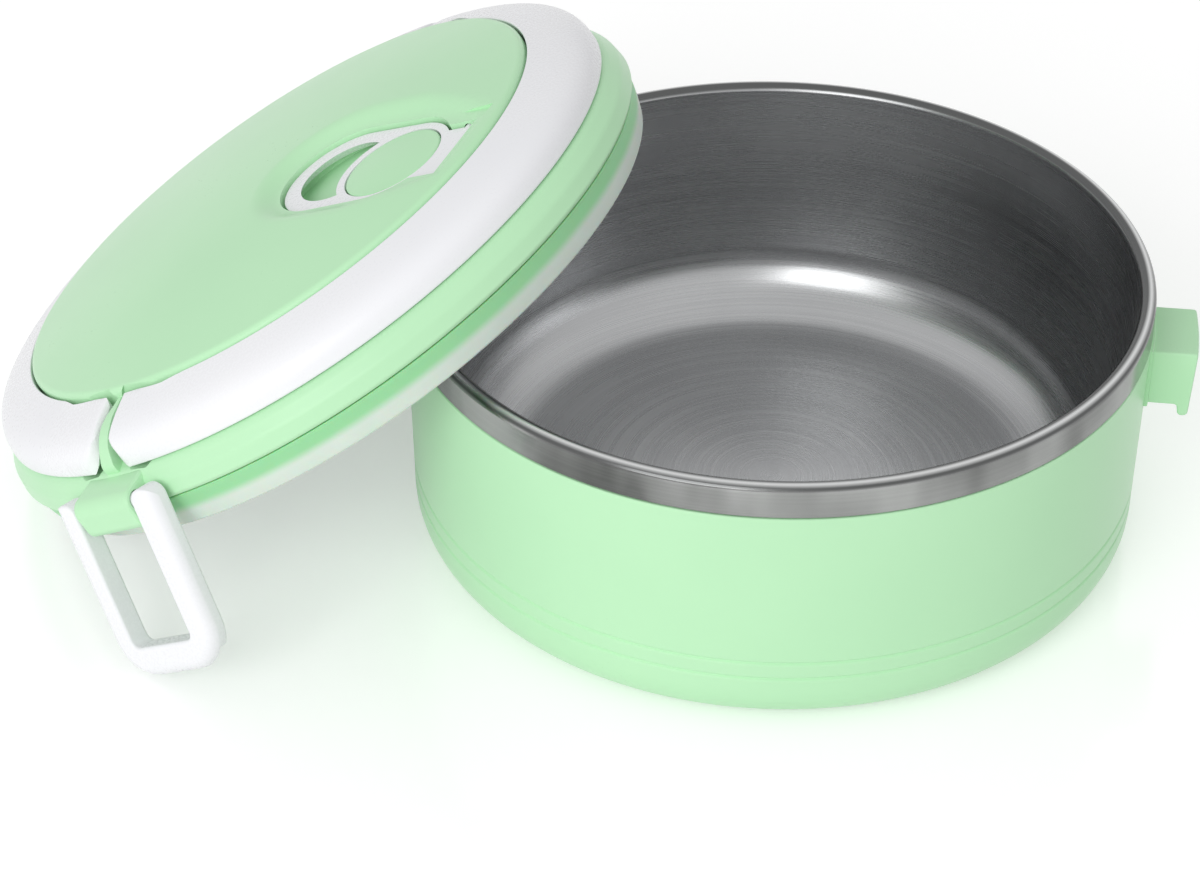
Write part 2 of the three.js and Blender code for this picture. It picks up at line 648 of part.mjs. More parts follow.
function makeLidInsulation() {
  const outer = neckInner - LINER_RIM_WALL - 2 * CLEARANCE;
  const step = domeInner - CLEARANCE;
  const shoulder = LEDGE_UNDERSIDE_Z - CLEARANCE;
  const foam = revolve([
    [0, linerTopZ + CLEARANCE],
    [outer, linerTopZ + CLEARANCE],
    [outer, shoulder],
    [step, shoulder],
    [step, LID_FOAM_TOP],
    [0, LID_FOAM_TOP],
  ]);
  const tubeRoom = VENT_BORE_RADIUS + VENT_TUBE_WALL + CLEARANCE;
  return foam.subtract(pin(tubeRoom, 'Z', 0, domeTopZ, 0, ventBoreY));
}

// Carry handle: crowned half ring with rounded ends, two pins and flats that clear the dome when it stands up
function makeHandle(way) {
  const inner = domeRadius + MOVING_GAP;
  const outerBottom = [handleOuterRadius, ledgeZ(handleOuterRadius) + CLEARANCE];
  const crown = new THREE.CubicBezierCurve(
    new THREE.Vector2(...outerBottom),
    new THREE.Vector2(handleOuterRadius + MOVING_GAP, outerBottom[1] + HANDLE_SHOULDER_HEIGHT),
    new THREE.Vector2(handleOuterRadius - HANDLE_CROWN_RUN, DOME_EDGE_Z - HANDLE_CROWN_DROP),
    new THREE.Vector2(inner, DOME_EDGE_Z),
  );
  const section = crown.getPoints(FINE_STEPS).map((point) => [point.x, point.y]);
  const ring = revolveRing([[inner, ledgeZ(inner) + CLEARANCE], ...section]);
  const far = 2 * handleOuterRadius;
  const side = new THREE.Shape();
  side.moveTo(far, 0);
  side.lineTo(far, far);
  side.lineTo(handlePivotY, far);
  side.absarc(handlePivotY, HANDLE_PIVOT_Z, HANDLE_END_RADIUS, Math.PI / 2, 3 * Math.PI / 2, false);
  side.lineTo(handlePivotY, 0);
  const flat = domeRadius + CLEARANCE;
  const flatEnd = handlePivotY + DOME_EDGE_Z - HANDLE_PIVOT_Z + MOVING_GAP;
  let half = ring.intersect(extrude(side, 'X', -far, far, FINE_STEPS));
  half = half.subtract(block(-flat, flat, -flatEnd, flatEnd, 0, far));
  const root = Math.sqrt(inner ** 2 - handlePivotY ** 2);
  for (const end of [-1, 1]) {
    const along = span(end, root - MOVING_GAP - HANDLE_PIN_LENGTH, root + HANDLE_PIN_LENGTH);
    half = half.add(pin(HANDLE_PIN_RADIUS, 'X', ...along, handlePivotY, HANDLE_PIVOT_Z));
  }
  return way > 0 ? half : half.rotate([0, 0, 180]);
}

// Latch loop, hanging along -Z from its hinge axis, with the outside towards +X
const latchReach = HINGE_Z - PLUG_DEPTH + CATCH_DROP + CATCH_HEIGHT + CLEARANCE;
const latchLength = latchReach + LATCH_BAR;

function makeLatchLoop() {
  const half = LATCH_WIDTH / 2;
  const inner = half - LATCH_ARM;
  const thick = LATCH_THICKNESS / 2;
  const frame = roundedPolygon([
    [-half, 0],
    [-half, -latchLength, LATCH_OUTER_ROUND],
    [half, -latchLength, LATCH_OUTER_ROUND],
    [half, 0],
    [inner, 0],
    [inner, -latchReach, LATCH_INNER_ROUND],
    [-inner, -latchReach, LATCH_INNER_ROUND],
    [-inner, 0],
  ]);
  let loop = extrude(frame, 'X', -thick, thick, FINE_STEPS);
  for (const way of [-1, 1]) {
    loop = loop.add(pin(LATCH_EYE_RADIUS, 'Y', ...span(way, inner, half), 0, 0));
    loop = loop.add(pin(LATCH_PIN_RADIUS, 'Y', ...span(way, inner - LATCH_PIN_LENGTH, half), 0, 0));
  }
  return loop.subtract(block(-2 * thick, -thick + LATCH_LIP_RELIEF, -half, half,
    -2 * latchLength, -latchLength + LATCH_LIP_HEIGHT));
}

// Vent flap, its disc and its plug, in the flap's own frame with the hinge axis along X
function makeVentFlap() {
  const thick = FLAP_THICKNESS / 2;
  const plate = extrude(ventOutline(0, 0), 'Z', -thick, thick, FINE_STEPS);
  const hole = pin(DISC_RADIUS + CLEARANCE, 'Z', -2 * thick, 2 * thick, 0, -DISC_FROM_HINGE);
  const reach = FLAP_HINGE_HALF_WIDTH + VENT_PIN_LENGTH;
  return plate.subtract(hole).subtract(fingerPocket())
    .add(pin(VENT_PIN_RADIUS, 'X', -reach, reach, 0, 0).subtract(hole));
}

const discUnderside = -FLAP_THICKNESS / 2 - CLEARANCE - DISC_FLANGE_THICKNESS;

function makeVentDisc() {
  const top = FLAP_THICKNESS / 2;
  const flange = DISC_RADIUS + CLEARANCE + DISC_FLANGE;
  return revolve([
    [0, top + DISC_CROWN],
    [DISC_RADIUS / 2, top + DISC_CROWN * DISC_CROWN_SHARE],
    [DISC_RADIUS, top],
    [DISC_RADIUS, discUnderside + DISC_FLANGE_THICKNESS],
    [flange, discUnderside + DISC_FLANGE_THICKNESS],
    [flange, discUnderside],
    [0, discUnderside],
  ], 2 * PIN_SEGMENTS);
}

function makeVentPlug() {
  const top = discUnderside - CLEARANCE;
  const seat = recessFloor + CLEARANCE;
  return revolve([
    [0, top],
    [VENT_PLUG_FLANGE_RADIUS, top],
    [VENT_PLUG_FLANGE_RADIUS, seat],
    [VENT_BORE_RADIUS - CLEARANCE, seat],
    [VENT_PLUG_TIP_RADIUS, seat - VENT_PLUG_DEPTH],
    [0, seat - VENT_PLUG_DEPTH],
  ], PIN_SEGMENTS);
}

// Body of the box
const lunchBox = new THREE.Group();
const catchSolid = makeCatch();
const tenonRoom = tenon(CLEARANCE);
const shell = makeOuterShell().subtract(tenonRoom).subtract(tenonRoom.rotate([0, 0, 180]));
piece('outer_shell', shell, GREEN, lunchBox);
piece('bowl_insulation', makeBowlInsulation(), FOAM, lunchBox);
piece('inner_bowl', makeInnerBowl(), STEEL_FINISH, lunchBox);
piece('catch_right', catchSolid, GREEN, lunchBox);
piece('catch_left', catchSolid, GREEN, lunchBox).rotation.z = Math.PI;

// The lid leans with its seal's low edge just above the ground and its liner on the bowl's rim
const lean = THREE.MathUtils.degToRad(LEAN_ANGLE);
const lidHeight = CLEARANCE + (sealFootRadius - SEAL_ROUND) * Math.sin(lean);
const rimTouch = lipCentreRadius * Math.sin(lean) + lipCentreZ * Math.cos(lean) + lipRadius;
const lidDistance = (rimTouch + CLEARANCE - LINER_RECESS - lidHeight * Math.cos(lean)) / Math.sin(lean);

const leanWay = new THREE.Group();
leanWay.rotation.z = THREE.MathUtils.degToRad(LEAN_AZIMUTH);
const leanTilt = new THREE.Group();
leanTilt.position.set(lidDistance, LID_SIDE_SHIFT, lidHeight);
leanTilt.rotation.y = lean;
const lid = new THREE.Group();
lid.rotation.z = THREE.MathUtils.degToRad(LID_TURN);
lunchBox.add(leanWay);
leanWay.add(leanTilt);
leanTilt.add(lid);

piece('lid_cover', makeLidCover(), GREEN, lid);
piece('lid_insulation', makeLidInsulation(), FOAM, lid);
piece('lid_liner', makeLidLiner(), WHITE, lid);
piece('lid_seal', makeLidSeal(), SILICONE, lid);
piece('carry_handle_vent_side', makeHandle(1), WHITE, lid);
piece('carry_handle_plain_side', makeHandle(-1), WHITE, lid);

// Latch loops hang from the lugs at both ends of the lid's X axis
const latchSolid = makeLatchLoop();
const latchPlaces = [['latch_loop_front', 0, FRONT_LATCH_SWING], ['latch_loop_back', 180, BACK_LATCH_SWING]];
for (const [name, turn, swing] of latchPlaces) {
  const station = new THREE.Group();
  station.rotation.z = THREE.MathUtils.degToRad(turn);
  const hinge = new THREE.Group();
  hinge.position.set(hingeRadius, 0, HINGE_Z);
  hinge.rotation.y = THREE.MathUtils.degToRad(-swing);
  station.add(hinge);
  lid.add(station);
  piece(name, latchSolid, WHITE, hinge);
}

// Steam vent
const vent = new THREE.Group();
vent.position.set(0, ventHingeY, VENT_HINGE_Z);
vent.rotation.x = -slope;
lid.add(vent);
piece('vent_flap', makeVentFlap(), WHITE, vent);
piece('vent_disc', makeVentDisc(), GREEN, vent).position.y = -DISC_FROM_HINGE;
piece('vent_plug', makeVentPlug(), SILICONE, vent).position.y = -DISC_FROM_HINGE;

export default lunchBox;
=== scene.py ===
# %% [markdown]
# An insulated lunch box, dressed for its picture. The solids of the part come in as a fixed frame, and
# this lesson builds a smoother skin for each of them. The frame gives every place and every hinge, so
# nothing has to be fitted by eye.

# %% Load the frame
import math

import bmesh
import bpy
from mathutils import Matrix, Vector


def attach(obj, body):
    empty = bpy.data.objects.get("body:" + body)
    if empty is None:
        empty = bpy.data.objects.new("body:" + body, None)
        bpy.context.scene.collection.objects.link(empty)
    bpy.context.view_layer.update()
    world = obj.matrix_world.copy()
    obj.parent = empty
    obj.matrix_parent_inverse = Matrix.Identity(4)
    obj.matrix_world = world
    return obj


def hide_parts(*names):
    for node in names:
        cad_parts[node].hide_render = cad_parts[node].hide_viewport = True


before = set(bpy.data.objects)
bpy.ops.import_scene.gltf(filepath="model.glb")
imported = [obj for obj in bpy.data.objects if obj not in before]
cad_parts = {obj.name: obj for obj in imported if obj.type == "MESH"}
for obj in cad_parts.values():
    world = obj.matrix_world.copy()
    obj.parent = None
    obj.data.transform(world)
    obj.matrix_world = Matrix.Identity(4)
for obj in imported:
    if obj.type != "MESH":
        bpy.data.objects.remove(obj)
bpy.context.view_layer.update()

# %% [markdown]
# The sizes below are in millimetres and are the same as those of the solids. Pieces are shaped in
# millimetres in their own simple position, with the round axis along Z, and one matrix per piece then
# puts them in place in metres. That keeps the numbers easy to read.

# %% Sizes that pieces share
RIM = 73.2
HEIGHT = 57.0
BAND = 6.8
STEEL = 0.6
LIP = 3.0
BAND_FOOT = HEIGHT - BAND
DOME = 59.2
DOME_EDGE = 25.3
DOME_RISE = 5.7
DOME_TOP = DOME_EDGE + DOME_RISE
COVER_WALL = 2.2
SKIRT_EDGE = 74.0
SKIRT_TOP = 71.6
NECK = 71.2
NECK_INNER = 69.2
LEDGE_IN = 18.6
LEDGE_OUT = 14.6
SEAT = 12.2
GAP = 0.3
PLAY = 0.5
ROUND_STEPS = 192

# %% [markdown]
# The lid is off and leans on the rim: its seal stands on the ground and its liner touches the steel. Two
# turns and a shift describe that, and they are worked out from the same sizes as the solids.

# %% Places of the lid, the loops and the vent
MM = Matrix.Scale(0.001, 4)
LEAN = math.radians(32.8)
LEAN_WAY = math.radians(176.1)
LID_TURN = math.radians(72.2)
SIDE_SHIFT = 1.1
SEAL_FOOT = 71.4
SEAL_ROUND = 0.6
LINER_Z = 6.9
lid_height = GAP + (SEAL_FOOT - SEAL_ROUND) * math.sin(LEAN)
lip_middle = RIM - LIP / 2
lip_height = HEIGHT - LIP / 2
rim_touch = lip_middle * math.sin(LEAN) + lip_height * math.cos(LEAN) + LIP / 2
lid_reach = (rim_touch + GAP - LINER_Z - lid_height * math.cos(LEAN)) / math.sin(LEAN)


def turn(angle, axis):
    return Matrix.Rotation(angle, 4, axis)


BODY_PLACE = MM
LID_PLACE = (MM @ turn(LEAN_WAY, "Z") @ Matrix.Translation((lid_reach, SIDE_SHIFT, lid_height))
             @ turn(LEAN, "Y") @ turn(LID_TURN, "Z"))
HINGE_RADIUS = 76.1
HINGE_Z = 11.1
FRONT_SWING = math.radians(17.8)
BACK_SWING = math.radians(-10.8)
HINGE_OUT = Matrix.Translation((HINGE_RADIUS, 0, HINGE_Z))
FRONT_LOOP_PLACE = LID_PLACE @ HINGE_OUT @ turn(-FRONT_SWING, "Y")
BACK_LOOP_PLACE = LID_PLACE @ turn(math.pi, "Z") @ HINGE_OUT @ turn(-BACK_SWING, "Y")
VENT_Y = 49.5
VENT_Z = 23.3
VENT_LEAN = math.radians(5)
VENT_IN_LID = Matrix.Translation((0, VENT_Y, VENT_Z)) @ turn(-VENT_LEAN, "X")
VENT_PLACE = LID_PLACE @ VENT_IN_LID
print("lid origin in mm:", [round(c * 1000, 2) for c in LID_PLACE.translation])

# %% [markdown]
# Most pieces here are turned shapes: moulded cups, rings and discs. A turned shape needs only half of its
# section, as a chain of points, which Spin carries round the axis. Each point may name a fillet radius,
# and a vertex bevel rounds the chain there before it is spun, so edges catch the light as moulded ones do.

# %% Chains, turned shapes and plates
def chain(bm, points, lay, closed=False, segments=6):
    """Edges through points (a, b, fillet), placed in space by lay(a, b)."""
    corners = [bm.verts.new(lay(p[0], p[1])) for p in points]
    for first, second in zip(corners, corners[1:]):
        bm.edges.new((first, second))
    if closed:
        bm.edges.new((corners[-1], corners[0]))
    for corner, point in zip(corners, points):
        if len(point) > 2:
            bmesh.ops.bevel(bm, geom=[corner], offset=point[2], offset_type="OFFSET", affect="VERTICES",
                            segments=segments, profile=0.5, material=-1)


def turned(points, closed=False, steps=ROUND_STEPS, segments=6):
    """A section in radius and height, spun once round Z."""
    bm = bmesh.new()
    chain(bm, points, lambda r, z: (r, 0, z), closed, segments)
    bmesh.ops.spin(bm, geom=bm.verts[:] + bm.edges[:], cent=(0, 0, 0), axis=(0, 0, 1),
                   angle=2 * math.pi, steps=steps, use_merge=True)
    bmesh.ops.remove_doubles(bm, verts=bm.verts, dist=1e-4)
    bmesh.ops.recalc_face_normals(bm, faces=bm.faces)
    return bm


LAYS = {
    "X": (lambda a, b: (0, a, b), Vector((1, 0, 0))),
    "Y": (lambda a, b: (b, 0, a), Vector((0, 1, 0))),
    "Z": (lambda a, b: (a, b, 0), Vector((0, 0, 1))),
}


def plate(points, axis, low, high, segments=8):
    """A flat outline with rounded corners, drawn across an axis and extruded along it."""
    bm = bmesh.new()
    lay, along = LAYS[axis]
    chain(bm, points, lay, True, segments)
    bmesh.ops.translate(bm, verts=bm.verts, vec=along * low)
    bmesh.ops.contextual_create(bm, geom=bm.edges[:])
    lifted = bmesh.ops.extrude_face_region(bm, geom=bm.faces[:], use_keep_orig=True)
    moved = [v for v in lifted["geom"] if isinstance(v, bmesh.types.BMVert)]
    bmesh.ops.translate(bm, verts=moved, vec=along * (high - low))
    bmesh.ops.recalc_face_normals(bm, faces=bm.faces)
    return bm


def rod(radius, axis, low, high, at=(0, 0, 0), steps=32):
    """A round pin along an axis, from low to high, its middle line through the point at."""
    bm = bmesh.new()
    bmesh.ops.create_cone(bm, cap_ends=True, segments=steps, radius1=radius, radius2=radius,
                          depth=high - low)
    bmesh.ops.translate(bm, verts=bm.verts, vec=(0, 0, (low + high) / 2))
    lean = {"X": turn(math.pi / 2, "Y"), "Y": turn(-math.pi / 2, "X"), "Z": Matrix()}[axis]
    bmesh.ops.transform(bm, matrix=Matrix.Translation(at) @ lean, verts=bm.verts)
    return bm


def box(x, y, z):
    """A block between two values on each axis."""
    bm = bmesh.new()
    bmesh.ops.create_cube(bm, size=1)
    bmesh.ops.scale(bm, vec=(x[1] - x[0], y[1] - y[0], z[1] - z[0]), verts=bm.verts)
    bmesh.ops.translate(bm, vec=((x[0] + x[1]) / 2, (y[0] + y[1]) / 2, (z[0] + z[1]) / 2), verts=bm.verts)
    return bm


print("shape helpers ready")

# %% [markdown]
# A mould adds and takes away whole shapes at once, and a Boolean does the same. The bevel afterwards
# breaks only the sharp edges, because rounded walls turn less than the angle limit from face to face.

# %% Objects, Booleans and edge breaks
def thing(name, bm):
    mesh = bpy.data.meshes.new(name)
    bm.to_mesh(mesh)
    bm.free()
    made = bpy.data.objects.new(name, mesh)
    bpy.context.scene.collection.objects.link(made)
    return made


def released(made):
    """Turns an object back into a loose shape, for the next Boolean."""
    bm = bmesh.new()
    bm.from_mesh(made.data)
    bpy.data.objects.remove(made)
    return bm


def settle(made):
    """Makes what the modifiers show the object's own mesh."""
    shown = made.evaluated_get(bpy.context.evaluated_depsgraph_get())
    mesh = bpy.data.meshes.new_from_object(shown)
    made.modifiers.clear()
    made.data = mesh


def combine(made, bm, operation):
    """Joins a shape to an object, cuts it away, or keeps what both share."""
    tool = thing("tool", bm)
    step = made.modifiers.new(operation.lower(), "BOOLEAN")
    step.operation = operation
    step.solver = "EXACT"
    step.object = tool
    settle(made)
    bpy.data.objects.remove(tool)


def soften(made, width, segments=3, angle=35):
    """Breaks the sharp edges of a settled object."""
    step = made.modifiers.new("edge_break", "BEVEL")
    step.width = width
    step.segments = segments
    step.limit_method = "ANGLE"
    step.angle_limit = math.radians(angle)
    step.use_clamp_overlap = True
    settle(made)


SLIVER = 0.002
SWEEPS = 2


def clean(made):
    """Merges the slivers that Booleans leave and splits many-sided faces into triangles."""
    bm = bmesh.new()
    bm.from_mesh(made.data)
    for sweep in range(SWEEPS):
        bmesh.ops.remove_doubles(bm, verts=bm.verts, dist=SLIVER)
        bmesh.ops.dissolve_degenerate(bm, edges=bm.edges, dist=SLIVER)
        many_sided = [f for f in bm.faces if len(f.verts) > 4]
        bmesh.ops.triangulate(bm, faces=many_sided, quad_method="BEAUTY", ngon_method="BEAUTY")
    open_edges = sum(len(e.link_faces) != 2 for e in bm.edges)
    bm.to_mesh(made.data)
    bm.free()
    return open_edges


def dress(made, place, body, finish, slot, *nodes, smooth=35):
    """Puts a shape in place, shades it, and hands it to the body that carries it."""
    open_edges = clean(made)
    made.data.transform(place)
    made.data.materials.clear()
    made.data.materials.append(finish)
    made.data.shade_smooth()
    made.data.set_sharp_from_angle(angle=math.radians(smooth))
    flats_first = made.modifiers.new("flats_first", "WEIGHTED_NORMAL")
    flats_first.keep_sharp = True
    settle(made)
    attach(made, body)
    if nodes:
        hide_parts(*nodes)
    print(made.name, len(made.data.polygons), "faces on", body, "with", open_edges, "open edges")


print("object helpers ready")

# %% [markdown]
# Finishes are written as sums. A Wire stands for a socket, and adding or multiplying wires adds Math
# nodes. The reflected forms let a plain number come first, as in 1 - wire. Everything else comes from one
# node method, which takes the settings first and the inputs after.

# %% Wires and finishes
class Wire:
    def __init__(self, finish, socket):
        self.finish = finish
        self.socket = socket

    def maths(self, operation, first, second):
        return self.finish.node("ShaderNodeMath", {"operation": operation}, {0: first, 1: second})

    def __add__(self, other):
        return self.maths("ADD", self, other)

    __radd__ = __add__

    def __sub__(self, other):
        return self.maths("SUBTRACT", self, other)

    def __rsub__(self, other):
        return self.maths("SUBTRACT", other, self)

    def __mul__(self, other):
        return self.maths("MULTIPLY", self, other)

    __rmul__ = __mul__

    def __truediv__(self, other):
        return self.maths("DIVIDE", self, other)

    def __rtruediv__(self, other):
        return self.maths("DIVIDE", other, self)


class Nodes:
    def __init__(self, tree):
        self.tree = tree

    def node(self, kind, settings=None, inputs=None, output=0):
        made = self.tree.nodes.new(kind)
        for name, value in (settings or {}).items():
            setattr(made, name, value)
        for key, value in (inputs or {}).items():
            self.feed(made.inputs[key], value)
        return Wire(self, made.outputs[output])

    def feed(self, socket, value):
        if isinstance(value, Wire):
            self.tree.links.new(value.socket, socket)
        else:
            socket.default_value = value

    def background_rays(self):
        """One for a ray that shows the backdrop: straight, mirrored or through glass."""
        kinds = ("Is Camera Ray", "Is Glossy Ray", "Is Transmission Ray")
        straight, mirrored, through = [self.node("ShaderNodeLightPath", output=kind) for kind in kinds]
        return straight + mirrored + through


class Finish(Nodes):
    def __init__(self, name, **constants):
        self.material = bpy.data.materials.new(name)
        self.material.use_nodes = True
        super().__init__(self.material.node_tree)
        self.shader = self.tree.nodes["Principled BSDF"]
        for socket, value in constants.items():
            self.shader.inputs[socket.replace("_", " ")].default_value = value

    def place(self):
        return self.node("ShaderNodeTexCoord", output="Object")

    def noise(self, scale, detail=2.0, vector=None):
        return self.node("ShaderNodeTexNoise", inputs={"Vector": vector or self.place(), "Scale": scale,
                                                       "Detail": detail})

    def blend(self, factor, low, high):
        return self.node("ShaderNodeMix", {"data_type": "RGBA"}, {0: factor, 6: low, 7: high}, output=2)

    def bump(self, height, strength, distance):
        return self.node("ShaderNodeBump", inputs={"Height": height, "Strength": strength,
                                                   "Distance": distance})

    def wear(self, **wires):
        for socket, value in wires.items():
            self.feed(self.shader.inputs[socket.replace("_", " ")], value)
        return self.material


def colour(red, green, blue):
    """A screen colour, 0 to 255, as the linear colour that shaders use."""
    def linear(c):
        c = c / 255
        return c / 12.92 if c <= 0.04045 else ((c + 0.055) / 1.055) ** 2.4
    return (linear(red), linear(green), linear(blue), 1)


print("finish helpers ready")

# %% [markdown]
# The body, the cover and the catches are one batch of mint polypropylene. Moulded plastic is never quite
# even: the colour drifts a little over centimetres, the gloss is broken by a fine grain from the mould,
# and the surface has a slight orange peel. All three are noise at their own scale.

# %% Mint and white plastic
def moulded(name, pale, deep, gloss):
    made = Finish(name, IOR=1.49, Specular_IOR_Level=0.22)
    drift = made.noise(28, 3)
    grain = made.noise(1900, 2)
    peel = made.noise(240, 1)
    return made.wear(
        Base_Color=made.blend(drift, pale, deep),
        Roughness=gloss + (grain - 0.5) * 0.08 + (drift - 0.5) * 0.06,
        Normal=made.bump(peel, 0.04, 0.00003),
    )


mint = moulded("mint_plastic", colour(196, 242, 198), colour(189, 236, 192), 0.3)
white = moulded("white_plastic", colour(248, 248, 250), colour(242, 243, 247), 0.28)
print("plastics:", mint.name, white.name)

# %% [markdown]
# The bowl is pressed from stainless sheet and brushed while it turns on a lathe, so the scratches run
# round it. Noise read in angle and height, squeezed in height, gives those lines. They go into the gloss,
# the colour and a faint bump. The band and the rolled lip are told from the inside by radius and height, in
# metres: the band carries a painted reflection in wide light and dark zones, and the lip is painted dark
# with one painted highlight along its crest.

# %% Brushed steel
BAND_FROM = 0.0725
BAND_FULL = 0.0730
LIP_FROM = 0.0558
LIP_FULL = 0.0563
CREST_AT = 0.0721
HIGHLIGHT_CORE = 0.0001
HIGHLIGHT_EDGE = 0.0007
LINES_ACROSS = 2600
LINES_ROUND = 12


def brushed_steel():
    made = Finish("brushed_steel", Metallic=1.0, Anisotropic=0.35)
    spot = made.place()
    x, y, z = [made.node("ShaderNodeSeparateXYZ", inputs={0: spot}, output=i) for i in range(3)]
    reach = made.node("ShaderNodeMath", {"operation": "SQRT"}, {0: x * x + y * y})
    across = (z + reach * 0.7) * LINES_ACROSS
    lane = made.node("ShaderNodeCombineXYZ", inputs={0: x * LINES_ROUND, 1: y * LINES_ROUND, 2: across})
    lines = made.noise(1.0, 3, lane)
    haze = made.noise(35, 3)
    bearing = made.node("ShaderNodeCombineXYZ", inputs={0: x / reach, 1: y / reach, 2: z * 6})
    # Painted reflection: wide light and dark zones round the band stand in for surroundings mirrored by the
    # steel.
    reflection_zones = made.node("ShaderNodeMapRange", inputs={0: made.noise(2.3, 3, bearing), 1: 0.4, 2: 0.62})
    band = made.node("ShaderNodeMapRange", inputs={0: reach, 1: BAND_FROM, 2: BAND_FULL})
    inner_tone = made.blend(lines * 0.6 + haze * 0.4, colour(146, 147, 148), colour(194, 195, 196))
    # The band's colour is mostly painted reflection from those zones, with the real brush lines mixed in.
    band_painted_reflection_and_lines = made.blend(reflection_zones * 0.8 + lines * 0.2, colour(84, 85, 84), colour(172, 173, 172))
    lip = made.node("ShaderNodeMapRange", inputs={0: z, 1: LIP_FROM, 2: LIP_FULL})
    # The lip is painted dark, with a painted highlight line along its crest; the crest mask below places
    # that highlight.
    off_crest = made.node("ShaderNodeMath", {"operation": "ABSOLUTE"}, {0: reach - CREST_AT})
    crest = made.node("ShaderNodeMapRange", inputs={0: off_crest, 1: HIGHLIGHT_EDGE, 2: HIGHLIGHT_CORE})
    lip_painted_reflection = made.blend(crest, colour(92, 93, 93), colour(205, 206, 206))
    flat_tone = made.blend(band, inner_tone, band_painted_reflection_and_lines)
    return made.wear(
        Base_Color=made.blend(lip, flat_tone, lip_painted_reflection),
        Roughness=0.27 + (lines - 0.5) * 0.14 + (haze - 0.5) * 0.1 - band * 0.07,
        Normal=made.bump(lines, 0.08, 0.00006),
    )


steel = brushed_steel()
print("metal:", steel.name)

# %% [markdown]
# The seal and the vent's plug are milky silicone, dull and a little see-through, with a matt bloom. Where
# the seal lies on the lid's green neck, under the skirt, its colour is a darker green: partly the neck
# showing through and partly painted shade under the skirt. That colour follows the height along the lid's
# own axis. The foam is out of sight and has open cells.

# %% Silicone and foam
GREEN_AND_SHADE_FROM = 0.0029
GREEN_AND_SHADE_FULL = 0.0052


def milky_silicone():
    made = Finish("milky_silicone", Subsurface_Weight=0.35, Subsurface_Scale=0.004, IOR=1.42)
    bloom = made.noise(90, 3)
    dust = made.noise(1500, 1)
    lid_up = LID_PLACE.to_3x3() @ Vector((0, 0, 1000))
    lift = made.node("ShaderNodeVectorMath", {"operation": "DOT_PRODUCT"},
                     {0: made.place(), 1: tuple(lid_up)}, output="Value")
    height = lift - lid_up.dot(LID_PLACE.translation)
    # Painted shade and show-through: the seal's band just under the skirt is coloured a darker green by
    # height.
    neck_green_and_shade = made.node("ShaderNodeMapRange", {"interpolation_type": "SMOOTHSTEP"},
                       {0: height, 1: GREEN_AND_SHADE_FROM, 2: GREEN_AND_SHADE_FULL})
    milk = made.blend(bloom, colour(228, 238, 229), colour(214, 229, 217))
    return made.wear(
        Base_Color=made.blend(neck_green_and_shade, milk, colour(158, 222, 166)),
        Roughness=0.46 + (dust - 0.5) * 0.16,
        Normal=made.bump(dust, 0.1, 0.0001),
    )


def rigid_foam():
    made = Finish("rigid_foam", IOR=1.4)
    cells = made.node("ShaderNodeTexVoronoi", inputs={"Vector": made.place(), "Scale": 900})
    return made.wear(
        Base_Color=made.blend(cells, colour(240, 234, 216), colour(222, 214, 192)),
        Roughness=0.85 + cells * 0.1,
        Normal=made.bump(cells, 0.5, 0.0004),
    )


silicone = milky_silicone()
foam = rigid_foam()
for node in ("bowl_insulation", "lid_insulation"):
    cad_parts[node].data.materials.clear()
    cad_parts[node].data.materials.append(foam)
print("soft materials:", silicone.name, foam.name)

# %% [markdown]
# The outer shell is a cup with a generous foot radius and two ring grooves low on the wall. Its top ends
# in a thin spigot that the steel band drops over.

# %% Outer shell
WALL_LEAN = 0.6
WALL_FROM = 9.5
WALL_TOP = BAND_FOOT - GAP
GROOVE_HALF = 0.45
GROOVE_DEEP = 0.5
SPIGOT_OUT = RIM - 0.9
SPIGOT_IN = RIM - 2.1
SPIGOT_TOP = HEIGHT - 1.5
SHELL_FLOOR = 2.2


def shell_radius(z):
    return RIM - WALL_LEAN + WALL_LEAN * (z - WALL_FROM) / (WALL_TOP - WALL_FROM)


def groove(z):
    low = z - GROOVE_HALF
    high = z + GROOVE_HALF
    return [(shell_radius(low), low, 0.2), (shell_radius(z) - GROOVE_DEEP, z, 0.22),
            (shell_radius(high), high, 0.2)]


shell_section = [
    (0, 0), (40, 0, 0.3), (40.8, 0.8, 0.3), (51.2, 0.8, 0.3), (52, 0, 0.3), (RIM - WALL_LEAN, 0, 9.4),
    *groove(12.3), *groove(16),
    (RIM, WALL_TOP, 0.35), (SPIGOT_OUT, WALL_TOP), (SPIGOT_OUT, SPIGOT_TOP),
    (SPIGOT_IN, SPIGOT_TOP), (SPIGOT_IN, WALL_TOP), (RIM - 2.7, SHELL_FLOOR, 7.4), (0, SHELL_FLOOR),
]
dress(thing("body_shell", turned(shell_section, segments=10)), BODY_PLACE, "bowl", mint, "green_plastic",
      "outer_shell")

# %% [markdown]
# The steel bowl is one sheet: floor, wall, a rim that rolls over and the outer band. The section follows
# the sheet down one side and back up the other.

# %% Steel bowl
BOWL_UNDER = 5.0
BOWL_FLOOR = 5.6
bowl_section = [
    (0, BOWL_UNDER), (64.9, BOWL_UNDER, 14.5), (70.8, HEIGHT - STEEL, 0.85),
    (RIM - STEEL, HEIGHT - STEEL, 0.85), (RIM - STEEL, BAND_FOOT), (RIM, BAND_FOOT, 0.25),
    (RIM, HEIGHT, 1.49), (RIM - LIP, HEIGHT, 1.49), (64.3, BOWL_FLOOR, 14), (0, BOWL_FLOOR),
]
dress(thing("steel_bowl", turned(bowl_section, segments=12)), BODY_PLACE, "bowl", steel, "steel",
      "inner_bowl")

